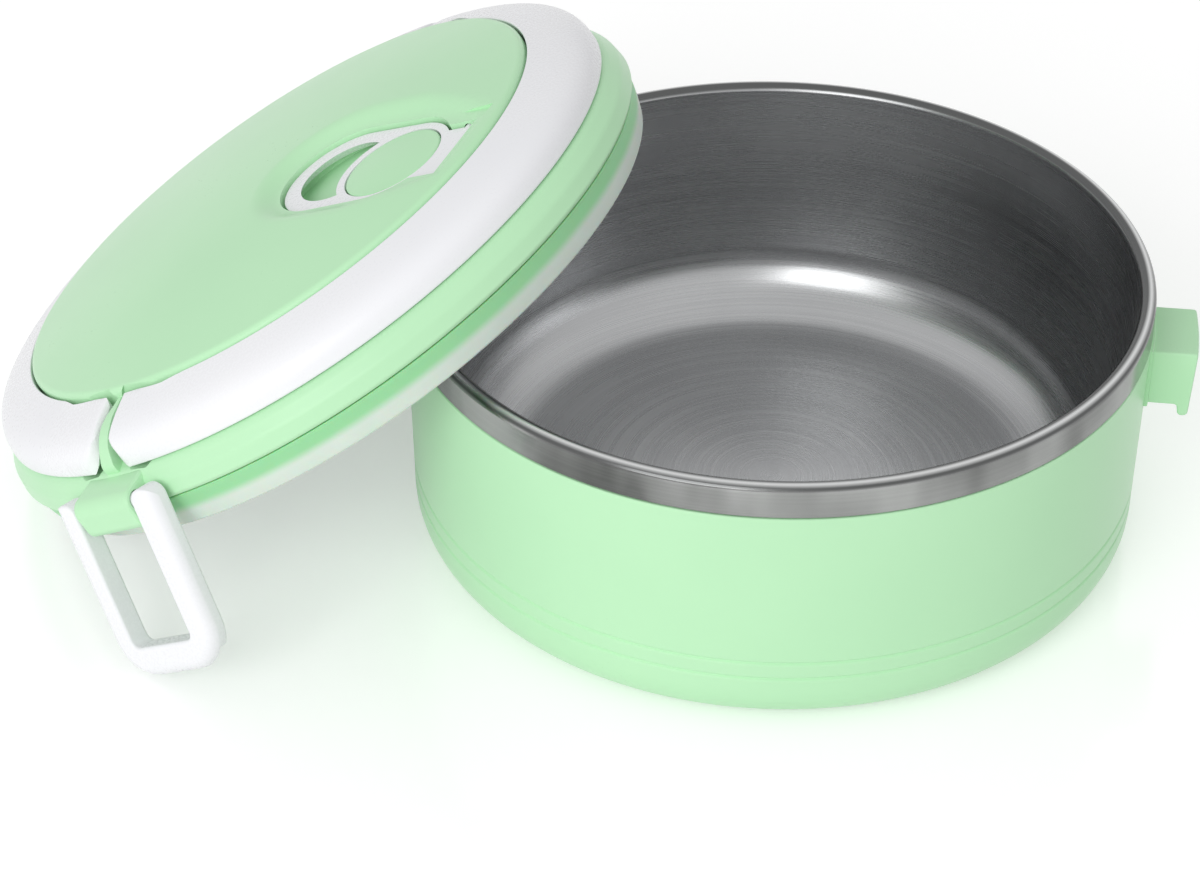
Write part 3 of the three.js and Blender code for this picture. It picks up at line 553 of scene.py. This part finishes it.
# %% [markdown]
# A catch is a block with a lip that turns down, on a pad that is curved like the wall. The block's
# outline is drawn from the side and extruded across. The pad is a strip spun through a small angle.

# %% Catches on the body
CATCH_TOP = HEIGHT - 8.8
CATCH_FOOT = CATCH_TOP - 12
CATCH_HALF = 8.1
PAD_HALF = 9.3
PAD_PROUD = 0.55
FACE_CROWN = 0.3
CATCH_ROOT = RIM - 0.6
CATCH_REACH = 8.95
HOOK_THICK = 3.3
HOOK_DROP = 2.5
PAD_ROOT = RIM - 0.7
PAD_TOP = CATCH_TOP + 0.8


def catch_shape():
    tip = RIM + CATCH_REACH
    hook = tip - HOOK_THICK
    side = [
        (CATCH_FOOT, CATCH_ROOT), (CATCH_FOOT, hook, 0.6), (CATCH_FOOT - HOOK_DROP, hook + 0.4, 0.7),
        (CATCH_FOOT - HOOK_DROP, tip - 0.8, 0.9), (CATCH_TOP, tip, 0.7), (CATCH_TOP, CATCH_ROOT),
    ]
    block = plate(side, "Y", -CATCH_HALF, CATCH_HALF, 5)
    lines = [e for e in block.edges if abs(e.verts[0].co.y - e.verts[1].co.y) > CATCH_HALF]
    bmesh.ops.subdivide_edges(block, edges=lines, cuts=11, use_grid_fill=True)
    for vertex in block.verts:
        outward = max(0.0, (vertex.co.x - hook) / (tip - hook))
        vertex.co.x -= FACE_CROWN * outward * (vertex.co.y / CATCH_HALF) ** 2
    made = thing("catch", block)
    soften(made, 0.4)
    pad = bmesh.new()
    half_turn = math.asin(PAD_HALF / RIM)
    chain(pad, [(PAD_ROOT, CATCH_FOOT), (RIM + PAD_PROUD, CATCH_FOOT, 0.3),
                (RIM + PAD_PROUD, PAD_TOP, 0.3), (PAD_ROOT, PAD_TOP)],
          lambda r, z: (r, 0, z), True, 4)
    bmesh.ops.rotate(pad, verts=pad.verts, cent=(0, 0, 0), matrix=Matrix.Rotation(-half_turn, 3, "Z"))
    bmesh.ops.spin(pad, geom=pad.verts[:] + pad.edges[:], cent=(0, 0, 0), axis=(0, 0, 1),
                   angle=2 * half_turn, steps=24)
    bmesh.ops.holes_fill(pad, edges=pad.edges)
    bmesh.ops.recalc_face_normals(pad, faces=pad.faces)
    combine(made, pad, "UNION")
    return made


right_catch = catch_shape()
left_catch = catch_shape()
right_catch.name = "body_catch_right"
left_catch.name = "body_catch_left"
dress(right_catch, BODY_PLACE, "bowl", mint, "green_plastic", "catch_right")
dress(left_catch, BODY_PLACE @ turn(math.pi, "Z"), "bowl", mint, "green_plastic", "catch_left")

# %% [markdown]
# The lid's cover is the richest moulding: a dome, a channel for the handles, a skirt and a neck. It is
# spun first with many rings, because the dish round the vent is then pressed into the dome by moving
# vertices with a smooth curve, as a finger presses clay.

# %% Lid cover, spun
DOME_CURVE = (DOME ** 2 + DOME_RISE ** 2) / (2 * DOME_RISE)


def dome_z(r):
    return DOME_TOP - DOME_CURVE + math.sqrt(DOME_CURVE ** 2 - r ** 2)


DOME_RINGS = 90
DOME_SMOOTH = DOME - 1.2
DOME_INSIDE = DOME - COVER_WALL


def rings(end, drop):
    """Points of the dome from its middle to a radius, lowered by a wall."""
    radii = [end * i / DOME_RINGS for i in range(DOME_RINGS + 1)]
    return [(r, dome_z(r) - drop) for r in radii]


outside = rings(DOME_SMOOTH, 0)
inside = rings(DOME_INSIDE, COVER_WALL)[::-1]
cover_section = [
    *outside, (DOME, dome_z(DOME), 1.1), (DOME, LEDGE_IN, 0.6), (SKIRT_TOP, LEDGE_OUT, 1.2),
    (SKIRT_TOP + 1.9, 11.6, 0.5), (SKIRT_EDGE, 8.4, 0.45), (SKIRT_EDGE - 0.6, 7.8, 0.2), (NECK, 7.8),
    (NECK, 5.2, 0.2), (NECK_INNER, 5.2, 0.2), (NECK_INNER, SEAT), (DOME_INSIDE, SEAT), *inside,
]
cover_bm = turned(cover_section, segments=6)
print("cover:", len(cover_bm.verts), "vertices")

# %% [markdown]
# The dish: inside the flap's outline the dome drops to a shallow plane, and outside it climbs back in an
# S-curve. The smooth minimum of the dome and the dish gives that curve without a crease.

# %% Dish pressed into the dome
FLAP_HALF = 1.0
DISH_FLOOR = FLAP_HALF + 0.85
DISH_SLOPE = 0.6
DISH_BLEND = 0.9
DISH_FOOT = 1.2
FLAT_HALF = 13.5
HINGE_HALF = 8.5
NOSE_AT = -28
DISC_AT = -14.3
HINGE_END = 2.4
DISH_RIM = DOME - 1.5
DISH_FADE = 3.0


def outside_by(x, y):
    """How far a point of the vent's plane lies outside the flared outline."""
    if y < NOSE_AT:
        return max(0.0, math.hypot(x, y - NOSE_AT) - FLAT_HALF)
    share = min(1.0, max(0.0, (y - DISC_AT) / (HINGE_END - DISC_AT)))
    half = FLAT_HALF + (HINGE_HALF - FLAT_HALF) * share
    return math.hypot(max(0.0, abs(x) - half), max(0.0, y - HINGE_END))


def smooth_least(a, b, width):
    share = min(1.0, max(0.0, 0.5 + (b - a) / (2 * width)))
    return b + (a - b) * share - width * share * (1 - share)


to_vent = VENT_IN_LID.inverted()
pressed = 0
for vertex in cover_bm.verts:
    radius = math.hypot(vertex.co.x, vertex.co.y)
    if radius > DISH_RIM or vertex.co.z < dome_z(min(radius, DOME)) - COVER_WALL - 0.1:
        continue
    top = to_vent @ Vector((vertex.co.x, vertex.co.y, dome_z(radius)))
    away = outside_by(top.x, top.y)
    dish = DISH_FLOOR + DISH_SLOPE * (math.hypot(away, DISH_FOOT) - DISH_FOOT)
    fade = min(1.0, max(0.0, (DISH_RIM - radius) / DISH_FADE))
    level = smooth_least(top.z, dish, DISH_BLEND)
    vertex.co.z += (level - top.z) * fade * fade * (3 - 2 * fade)
    pressed += 1
print("dish pressed through", pressed, "vertices")

# %% [markdown]
# Now the features that carry the moving pieces. First the vent: a tub and a steam tube under it, a recess
# and a socket for its hinge, and a sloping floor, the scoop, under the finger pocket. The scoop is what the
# vent's outline and a wedge share.

# %% Vent tub, steam tube and scoop
TUB_FLOOR = -FLAP_HALF - 2.8
TUB_WALL = 2.0
TUB_TOP = 0.4
TUB_GROW = 2.6
TUB_END = 4.4
TUB_PLAY = 0.6
SCOOP_TOP = -FLAP_HALF - 0.4
SCOOP_HALF = 16
SCOOP_GROW = 1.6
HINGE_BLOCK = 7.9
DISC_RING = 12.5
NOSE_HALF = 12.9
NOSE_LONG = 12.7
ARC_STEPS = 16
NOSE_STEPS = 48
STEAM_BORE = 2.5
STEAM_TUBE = 4.5
TUBE_FOOT = 9.2
RECESS_HALF = 11.4
RECESS_FROM = -7
RECESS_TO = 5.8
RECESS_FLOOR = DISH_FLOOR + 0.4
VENT_SOCKET = 1.35
VENT_SOCKET_HALF = 9.7


def vent_outline(grow, end):
    """The flap's outline: hinge block, ring round the disc and a rounded nose."""
    half = HINGE_BLOCK + grow
    ring = DISC_RING + grow
    wide = NOSE_HALF + grow
    long = NOSE_LONG + grow
    arc = math.pi / 2 - math.asin(half / ring)
    right = [arc - arc * i / ARC_STEPS for i in range(ARC_STEPS + 1)]
    nose = [-math.pi * i / NOSE_STEPS for i in range(NOSE_STEPS + 1)]
    left = [math.pi - arc * i / ARC_STEPS for i in range(ARC_STEPS + 1)]
    points = [(-half, end), (half, end)]
    points += [(ring * math.cos(a), DISC_AT + ring * math.sin(a)) for a in right]
    points += [(wide * math.cos(a), NOSE_AT + long * math.sin(a)) for a in nose]
    points += [(ring * math.cos(a), DISC_AT + ring * math.sin(a)) for a in left]
    return points


def at_vent(bm):
    bmesh.ops.transform(bm, matrix=VENT_IN_LID, verts=bm.verts)
    return bm


def flipped(bm, side):
    if side < 0:
        bmesh.ops.rotate(bm, verts=bm.verts, cent=(0, 0, 0), matrix=Matrix.Rotation(math.pi, 3, "Z"))
    return bm


cover = thing("lid_cover_moulding", cover_bm)
bore_y = VENT_Y + DISC_AT * math.cos(VENT_LEAN) + TUB_FLOOR * math.sin(VENT_LEAN)
bore_top = VENT_Z - DISC_AT * math.sin(VENT_LEAN) + TUB_FLOOR * math.cos(VENT_LEAN)
bore_at = (0, bore_y, 0)
tub = plate(vent_outline(TUB_GROW, TUB_END), "Z", TUB_FLOOR - TUB_WALL, TUB_TOP)
combine(cover, at_vent(tub), "UNION")
combine(cover, rod(STEAM_TUBE, "Z", TUBE_FOOT, bore_top - 1, bore_at), "UNION")
hollow = plate(vent_outline(TUB_PLAY, HINGE_END), "Z", TUB_FLOOR, DOME_TOP)
combine(cover, at_vent(hollow), "DIFFERENCE")
recess = box((-RECESS_HALF, RECESS_HALF), (RECESS_FROM, RECESS_TO), (RECESS_FLOOR, DOME_TOP))
combine(cover, at_vent(recess), "DIFFERENCE")
combine(cover, at_vent(rod(VENT_SOCKET, "X", -VENT_SOCKET_HALF, VENT_SOCKET_HALF)), "DIFFERENCE")
combine(cover, rod(STEAM_BORE, "Z", 0, DOME_TOP, bore_at), "DIFFERENCE")
scoop = thing("scoop", plate(vent_outline(SCOOP_GROW, HINGE_END), "Z", TUB_FLOOR - 1, FLAP_HALF))
wedge = [(NOSE_AT - 16, TUB_FLOOR - 0.5), (NOSE_AT - 13, TUB_FLOOR + 1.0), (NOSE_AT + 1.8, SCOOP_TOP),
         (NOSE_AT + 1.9, TUB_FLOOR - 0.5)]
combine(scoop, plate(wedge, "X", -SCOOP_HALF, SCOOP_HALF), "INTERSECT")
combine(cover, at_vent(released(scoop)), "UNION")
print("vent tub cut:", len(cover.data.polygons), "faces")

# %% [markdown]
# Both sides of the lid carry the same things, so one loop makes them: pockets that the handle ends swing
# through, a tongue that fills the gap between the ends, a lug for the latch loop, and sockets for the pins.
# The tongue narrows upwards and inwards, so that the ends pass it as they lift.

# %% Tongues, lugs and sockets on both sides
PIVOT_Y = 7.3
PIVOT_Z = 20.2
END_RADIUS = 5.2
TONGUE_HALF = 1.75
TONGUE_TAPER = 0.25
INNER_TAPER = 0.52
TAPER_FROM = LEDGE_OUT + 2
TAPER_RUN = 3
TONGUE_ROOT = 58.1
SLIT_HALF = 1.6
POCKET = END_RADIUS + 0.9
DEEP_POCKET = END_RADIUS + 2.1
POCKET_FROM = 58.4
POCKET_TO = SKIRT_TOP - 0.6
DEEP_TO = 66.0
LUG_HALF = 8.0
LUG_ROOT = 70.2
LUG_FOOT = 6
LUG_FRONT = HINGE_RADIUS + 2.9
HANDLE_SOCKET = 2.25
SOCKET_FROM = 56
SOCKET_TO = 60.2
LOOP_SOCKET = 1.95
LOOP_SOCKET_DEEP = 1.7
LOOP_ROOM = 14.5
tongue = [(SEAT + 1, TONGUE_ROOT), (DOME_EDGE - 1.5, TONGUE_ROOT), (DOME_EDGE - 2.0, DOME + 1, 1.0),
          (22.6, 65, 2), (20.4, 69, 2), (LEDGE_OUT + 1.5, SKIRT_TOP, 1.2), (SEAT + 1, SKIRT_TOP - 1)]
lug = [(14.4, LUG_ROOT), (13.8, LUG_FRONT, 2.6), (LUG_FOOT, LUG_FRONT, 1.8), (LUG_FOOT, LUG_ROOT)]
for side in (1, -1):
    for way in (1, -1):
        at = (0, way * PIVOT_Y, PIVOT_Z)
        combine(cover, flipped(rod(POCKET, "X", POCKET_FROM, POCKET_TO, at, 48), side), "DIFFERENCE")
        combine(cover, flipped(rod(DEEP_POCKET, "X", POCKET_FROM, DEEP_TO, at, 48), side), "DIFFERENCE")
    tongue_bm = plate(tongue, "Y", -TONGUE_HALF, TONGUE_HALF)
    for vertex in tongue_bm.verts:
        crest = min(1.0, max(0.0, (vertex.co.z - TAPER_FROM) / TAPER_RUN))
        inward = min(1.0, max(0.0, (DEEP_TO - abs(vertex.co.x)) / (DEEP_TO - DOME)))
        vertex.co.y *= 1 - crest * (TONGUE_TAPER + INNER_TAPER * inward)
    combine(cover, flipped(tongue_bm, side), "UNION")
    lug_tool = thing("lug", flipped(plate(lug, "Y", -LUG_HALF, LUG_HALF), side))
    soften(lug_tool, 0.9)
    combine(cover, released(lug_tool), "UNION")
    for way in (1, -1):
        at = (0, way * PIVOT_Y, PIVOT_Z)
        combine(cover, flipped(rod(HANDLE_SOCKET, "X", SOCKET_FROM, SOCKET_TO, at), side), "DIFFERENCE")
        slit_room = (way * PIVOT_Y - SLIT_HALF, way * PIVOT_Y + SLIT_HALF)
        slit = box((DOME - 0.8, DOME + 1), slit_room, (DOME_EDGE - 1.8, DOME_TOP))
        combine(cover, flipped(slit, side), "DIFFERENCE")
        low, high = sorted((way * (LUG_HALF - LOOP_SOCKET_DEEP), way * (LUG_HALF + 1)))
        socket = rod(LOOP_SOCKET, "Y", low, high, (HINGE_RADIUS, 0, HINGE_Z))
        combine(cover, flipped(socket, side), "DIFFERENCE")
        room = sorted((way * LUG_HALF, way * LOOP_ROOM))
        combine(cover, flipped(box((RIM - 0.5, 75), room, (5.2, LEDGE_OUT)), side), "DIFFERENCE")
dress(cover, LID_PLACE, "lid", mint, "green_plastic", "lid_cover", smooth=28)

# %% [markdown]
# Under the cover, the liner closes the lid from below and the seal presses into the bowl's mouth. Both
# are turned. The liner has the steam hole, and the seal is cut back where the lugs stand and where a loop
# folds in.

# %% Liner and seal
LINER_EDGE = NECK_INNER - GAP
LINER_WALL = LINER_EDGE - 2.4
LINER_TOP = 8.9
liner_section = [(0, LINER_Z), (LINER_EDGE, LINER_Z, 0.4), (LINER_EDGE, SEAT - GAP, 0.3),
                 (LINER_WALL, SEAT - GAP, 0.3), (LINER_WALL, LINER_TOP), (0, LINER_TOP)]
liner = thing("lid_liner_plate", turned(liner_section))
combine(liner, rod(STEAM_BORE, "Z", 0, DOME_TOP, bore_at), "DIFFERENCE")
dress(liner, LID_PLACE, "lid", white, "white_plastic", "lid_liner")

SEAL_SHOULDER = 73.2
SEAL_INNER = 64.5
SEAL_TOP = 7.5
NECK_FOOT = 4.9
FOLD_ROOM = 14.6
seal_section = [
    (SEAL_INNER, 4.6, 0.5), (SEAL_FOOT - 2.8, 4.0, 0.5), (SEAL_FOOT - 2.2, 0, 0.5), (SEAL_FOOT, 0, 0.7),
    (SEAL_FOOT + 1.1, 3.6, 1.2), (SEAL_SHOULDER, SEAL_TOP, 0.3), (NECK + GAP, SEAL_TOP),
    (NECK + GAP, NECK_FOOT), (LINER_EDGE, NECK_FOOT), (LINER_EDGE, LINER_Z - GAP, 0.3),
    (SEAL_INNER, LINER_Z - GAP, 0.5),
]
seal = thing("lid_seal_ring", turned(seal_section, True))
for side in (1, -1):
    room = box((NECK_INNER, RIM + 1), (-LUG_HALF - GAP, LUG_HALF + GAP), (5.7, 8.4))
    combine(seal, flipped(room, side), "DIFFERENCE")
    room = box((SEAL_FOOT + 0.9, RIM + 1), (-FOLD_ROOM, FOLD_ROOM), (1, 8.4))
    combine(seal, flipped(room, side), "DIFFERENCE")
dress(seal, LID_PLACE, "lid", silicone, "silicone", "lid_seal")

# %% [markdown]
# Each carry handle is half a ring with a crowned section. Spin makes the ring in three runs, fine at the
# ends. Each end is a skin that draws back below, so that it clears the channel and the tongue as it lifts.

# %% Carry handles
HANDLE_OUT = 71.3
HANDLE_IN = DOME + PLAY
HANDLE_GAP = 2.1
END_SKIN = 1.2
END_UNDERCUT = 6.5
TOP_SQUARENESS = 2.5
FOOT_SQUARENESS = 1.6
END_CORNER = 4.2
INNER_CORNER = 1.2
FLAT_EASE = 0.5
FLAT_RUN = 7.0
END_MERGE = 0.06
END_FLAT = 0.01
HANDLE_PIN = 2
PIN_FROM = 56.6
PIN_TO = 61.4
GAP_RADIUS = 65.5
FINE_TURN = math.radians(6.5)
FINE_STEPS = 26
PLAIN_STEPS = 110


def crown_points(count=18):
    """The crowned top of the section, from the outer foot to the inner edge."""
    foot = Vector((HANDLE_OUT, LEDGE_OUT + 0.4))
    shoulder = Vector((HANDLE_OUT + 0.4, foot.y + 5.7))
    crest = Vector((HANDLE_OUT - 2.1, DOME_EDGE - 3.1))
    edge = Vector((HANDLE_IN, DOME_EDGE - 0.7))
    made = []
    for i in range(count + 1):
        t = i / count
        u = 1 - t
        made.append(tuple(foot * u ** 3 + shoulder * 3 * u * u * t + crest * 3 * u * t * t + edge * t ** 3))
    return made


def draw_in(along, corner):
    """How far a rounded corner lies inside its square one, at a distance along from the end."""
    back = 1 - min(1.0, max(0.0, along) / corner)
    return corner * (1 - math.sqrt(1 - back * back))


def crown_height(crown, radius):
    """The crown's height at a radius, read off its points, which run inwards."""
    for (outer, low), (inner, high) in zip(crown, crown[1:]):
        if inner <= radius <= outer:
            return low + (high - low) * (outer - radius) / max(outer - inner, 1e-6)
    return crown[0][1] if radius > crown[0][0] else crown[-1][1]


def rounded(share, squareness):
    """A quarter of a superellipse: 0 at the start and 1 from share 1 on."""
    back = 1 - min(1.0, max(0.0, share))
    return (1 - back ** squareness) ** (1 / squareness)


def handle_shape(name):
    bm = bmesh.new()
    crown = crown_points()
    section = [(HANDLE_IN, LEDGE_IN + 0.2, 0.5), (*crown[0], 0.6), *crown[1:-1], (*crown[-1], 0.35)]
    chain(bm, section, lambda r, z: (r, 0, z), True, 4)
    start = math.asin(HANDLE_GAP / GAP_RADIUS)
    plain = math.pi - 2 * start - 2 * FINE_TURN
    bmesh.ops.rotate(bm, verts=bm.verts, cent=(0, 0, 0), matrix=Matrix.Rotation(start, 3, "Z"))
    last = bm.verts[:] + bm.edges[:]
    for angle, steps in ((FINE_TURN, FINE_STEPS), (plain, PLAIN_STEPS), (FINE_TURN, FINE_STEPS)):
        run = bmesh.ops.spin(bm, geom=last, cent=(0, 0, 0), axis=(0, 0, 1), angle=angle, steps=steps)
        last = run["geom_last"]
    bmesh.ops.holes_fill(bm, edges=bm.edges)
    flat_end = PIVOT_Y + DOME_EDGE - PIVOT_Z + PLAY
    for vertex in bm.verts:
        along = vertex.co.y - HANDLE_GAP
        side = 1 if vertex.co.x > 0 else -1
        reach = math.hypot(vertex.co.x, vertex.co.y)
        kept = min(HANDLE_OUT - draw_in(along, END_CORNER),
                   max(HANDLE_IN + draw_in(along, INNER_CORNER), reach))
        if along < END_UNDERCUT:
            equator = crown_height(crown, kept) - END_SKIN
            rise = END_SKIN * rounded(along / END_SKIN, TOP_SQUARENESS)
            fall = (equator - LEDGE_OUT) * rounded(along / END_UNDERCUT, FOOT_SQUARENESS)
            vertex.co.z = min(equator + rise, max(equator - fall, vertex.co.z))
        if along < END_CORNER:
            vertex.co.x *= kept / reach
            vertex.co.y *= kept / reach
        if vertex.co.y < flat_end + FLAT_RUN:
            flat = DOME + GAP - FLAT_EASE * max(0.0, vertex.co.y - flat_end)
            vertex.co.x = side * max(flat, abs(vertex.co.x))
    bmesh.ops.remove_doubles(bm, verts=bm.verts, dist=END_MERGE)
    bmesh.ops.dissolve_degenerate(bm, edges=bm.edges, dist=END_FLAT)
    bmesh.ops.recalc_face_normals(bm, faces=bm.faces)
    made = thing(name, bm)
    for side in (1, -1):
        low, high = sorted((side * PIN_FROM, side * PIN_TO))
        combine(made, rod(HANDLE_PIN, "X", low, high, (0, PIVOT_Y, PIVOT_Z)), "UNION")
    return made


dress(handle_shape("handle_vent_side"), LID_PLACE, "handle_vent_side", white, "white_plastic",
      "carry_handle_vent_side")
dress(handle_shape("handle_plain_side"), LID_PLACE @ turn(math.pi, "Z"), "handle_plain_side", white,
      "white_plastic", "carry_handle_plain_side")

# %% [markdown]
# A latch loop is a U-shaped frame whose arms end in round fingertips on the hinge. Its outer edge is full
# and soft to the thumb, and its inner edge is only broken. So the outline is extruded with small edge
# breaks, and a pillow with a large front radius, laid over it, keeps only what they share. The back of the
# bar is cut away, which leaves a lip for the finger.

# %% Latch loops
LOOP_HALF = 14.0
LOOP_ARM = 5.5
LOOP_THICK = 2.4
LOOP_REACH = 28.0
LOOP_LENGTH = 34.6
LOOP_CORNER = 8.5
LOOP_BREAK = 0.7
LOOP_ROUND = 2.9
PILLOW_EASE = 0.02
PILLOW_TOP = 12
BAR_LIP = 2.2
BAR_RELIEF = 3.4
LOOP_PIN = 1.7
LOOP_PIN_LONG = 1.9


def flat_edges(bm, at_least=-math.inf):
    """Edges that lie across X, beyond a height on X."""
    return [e for e in bm.edges if abs(e.verts[0].co.x - e.verts[1].co.x) < 0.01
            and e.verts[0].co.x > at_least]


def round_off(bm, edges, offset, segments):
    bmesh.ops.bevel(bm, geom=edges, offset=offset, offset_type="OFFSET", affect="EDGES", segments=segments,
                    profile=0.5, material=-1)


def loop_shape(name):
    inner = LOOP_HALF - LOOP_ARM
    top = LOOP_THICK
    finger = LOOP_ARM / 2 - 0.1
    frame_line = [(-LOOP_HALF, top, finger), (-LOOP_HALF, -LOOP_LENGTH, LOOP_CORNER),
                  (LOOP_HALF, -LOOP_LENGTH, LOOP_CORNER), (LOOP_HALF, top, finger), (inner, top, finger),
                  (inner, -LOOP_REACH, 1.6), (-inner, -LOOP_REACH, 1.6), (-inner, top, finger)]
    bars = plate(frame_line, "X", -LOOP_THICK, LOOP_THICK, 10)
    round_off(bars, flat_edges(bars), LOOP_BREAK, 4)
    made = thing(name, bars)
    wide = LOOP_HALF + PILLOW_EASE
    foot = -LOOP_LENGTH - PILLOW_EASE
    pillow_line = [(-wide, PILLOW_TOP), (-wide, foot, LOOP_CORNER), (wide, foot, LOOP_CORNER),
                   (wide, PILLOW_TOP)]
    pillow = plate(pillow_line, "X", -LOOP_THICK - 1, LOOP_THICK + PILLOW_EASE, 10)
    round_off(pillow, flat_edges(pillow, 0), LOOP_ROUND, 8)
    combine(made, pillow, "INTERSECT")
    relief = box((-5, -LOOP_THICK + BAR_LIP), (-LOOP_HALF - 1, LOOP_HALF + 1),
                 (-LOOP_LENGTH - 5.4, -LOOP_LENGTH + BAR_RELIEF))
    combine(made, relief, "DIFFERENCE")
    for way in (1, -1):
        low, high = sorted((way * (inner - LOOP_PIN_LONG), way * (inner + 1)))
        combine(made, rod(LOOP_PIN, "Y", low, high), "UNION")
    return made


dress(loop_shape("loop_front"), FRONT_LOOP_PLACE, "latch_front", white, "white_plastic", "latch_loop_front")
dress(loop_shape("loop_back"), BACK_LOOP_PLACE, "latch_back", white, "white_plastic", "latch_loop_back")

# %% [markdown]
# The vent flap is a thin plate with a round hole for the mint disc and a crescent for the fingertip. The
# disc is crowned and clips in from below, and a silicone plug sits under it.

# %% Vent flap, disc and plug
DISC_RADIUS = 10.4
DISC_HOLE = 10.7
DISC_FLANGE = 11.6
POCKET_WIDE = 9.3
POCKET_LONG = 9.7
POCKET_BELOW = 1.5
POCKET_ABOVE = 0.75
VENT_PIN = 1.1
VENT_PIN_FROM = 7.0
VENT_PIN_TO = 9.1
DISC_PLACE = VENT_PLACE @ Matrix.Translation((0, DISC_AT, 0))
flap = thing("vent_flap_plate", plate(vent_outline(0, 1.5), "Z", -FLAP_HALF, FLAP_HALF))
combine(flap, rod(DISC_HOLE, "Z", -3, 3, (0, DISC_AT, 0), 96), "DIFFERENCE")
pocket = bmesh.new()
bmesh.ops.create_cone(pocket, cap_ends=True, segments=96, radius1=POCKET_BELOW, radius2=POCKET_ABOVE,
                      depth=6)
bmesh.ops.scale(pocket, vec=(POCKET_WIDE, POCKET_LONG, 1), verts=pocket.verts)
bmesh.ops.translate(pocket, vec=(0, NOSE_AT + 0.6, 0), verts=pocket.verts)
pocket_tool = thing("pocket", pocket)
combine(pocket_tool, rod(DISC_RING, "Z", -5, 5, (0, DISC_AT, 0), 96), "DIFFERENCE")
combine(flap, released(pocket_tool), "DIFFERENCE")
soften(flap, 0.3, 3)
for way in (1, -1):
    low, high = sorted((way * VENT_PIN_FROM, way * VENT_PIN_TO))
    combine(flap, rod(VENT_PIN, "X", low, high), "UNION")
dress(flap, VENT_PLACE, "vent", white, "white_plastic", "vent_flap")

disc_section = [
    (0, 1.7), (DISC_RADIUS / 2, 1.53), (DISC_RADIUS, 1.0, 0.35), (DISC_RADIUS, -1.3),
    (DISC_FLANGE, -1.3, 0.2), (DISC_FLANGE, -2.1, 0.2), (0, -2.1),
]
disc = thing("vent_disc_button", turned(disc_section, steps=96))
dress(disc, DISC_PLACE, "vent", mint, "green_plastic", "vent_disc")
plug_section = [(0, -2.4), (4, -2.4, 0.2), (4, -3.5, 0.2), (2.2, -3.5), (1.1, -5.9, 0.4), (0, -5.9)]
plug = thing("vent_plug_cone", turned(plug_section, steps=48))
dress(plug, DISC_PLACE, "vent", silicone, "silicone", "vent_plug")

# %% [markdown]
# The stage is a plain pale floor that fades into a white world, with one large soft lamp. The camera stands
# where the photograph's camera stood: a long lens, looking down at about 36 degrees.

# %% Floor and world
SKY_LIGHT = 0.62
FLOOR_GLOW = 0.3


def pale_floor():
    made = Finish("pale_floor", Base_Color=(0.93, 0.93, 0.93, 1), Roughness=0.14, IOR=1.7)
    made.shader.inputs["Emission Color"].default_value = (1, 1, 1, 1)
    return made.wear(Emission_Strength=made.background_rays() * FLOOR_GLOW)


floor_bm = bmesh.new()
bmesh.ops.create_grid(floor_bm, x_segments=1, y_segments=1, size=3)
floor = thing("floor", floor_bm)
floor.data.materials.append(pale_floor())
scene = bpy.context.scene
scene.view_settings.view_transform = "Standard"
world = bpy.data.worlds.new("studio")
scene.world = world
world.use_nodes = True
air = Nodes(world.node_tree)
sky = world.node_tree.nodes["Background"]
sky.inputs["Color"].default_value = (1, 1, 1, 1)
air.feed(sky.inputs["Strength"], SKY_LIGHT + air.background_rays() * (1 - SKY_LIGHT))
print("stage ready")

# %% Lamp and camera
KEY_PLACE = Vector((-0.42, -1.22, 0.66))
KEY_TARGET = Vector((-0.03, 0, 0.03))
CAMERA_PLACE = Vector((0.0340, -0.5265, 0.3956))
CAMERA_AIM = Vector((-0.1058, 0.8038, -0.5855))


def stand(name, data, place, aim):
    """Puts a lamp or a camera in its place, looking along a line."""
    made = bpy.data.objects.new(name, data)
    scene.collection.objects.link(made)
    made.location = place
    made.rotation_euler = aim.to_track_quat("-Z", "Y").to_euler()
    return made


key = bpy.data.lights.new("key", "AREA")
key.size = 0.9
key.energy = 9
stand("key", key, KEY_PLACE, KEY_TARGET - KEY_PLACE)
lens = bpy.data.cameras.new("camera")
lens.lens = 96
lens.sensor_width = 36
scene.camera = stand("camera", lens, CAMERA_PLACE, CAMERA_AIM)
print("camera ready")

# %% [markdown]
# At the end the view layer is updated once more.

# %% Final update
bpy.context.view_layer.update()
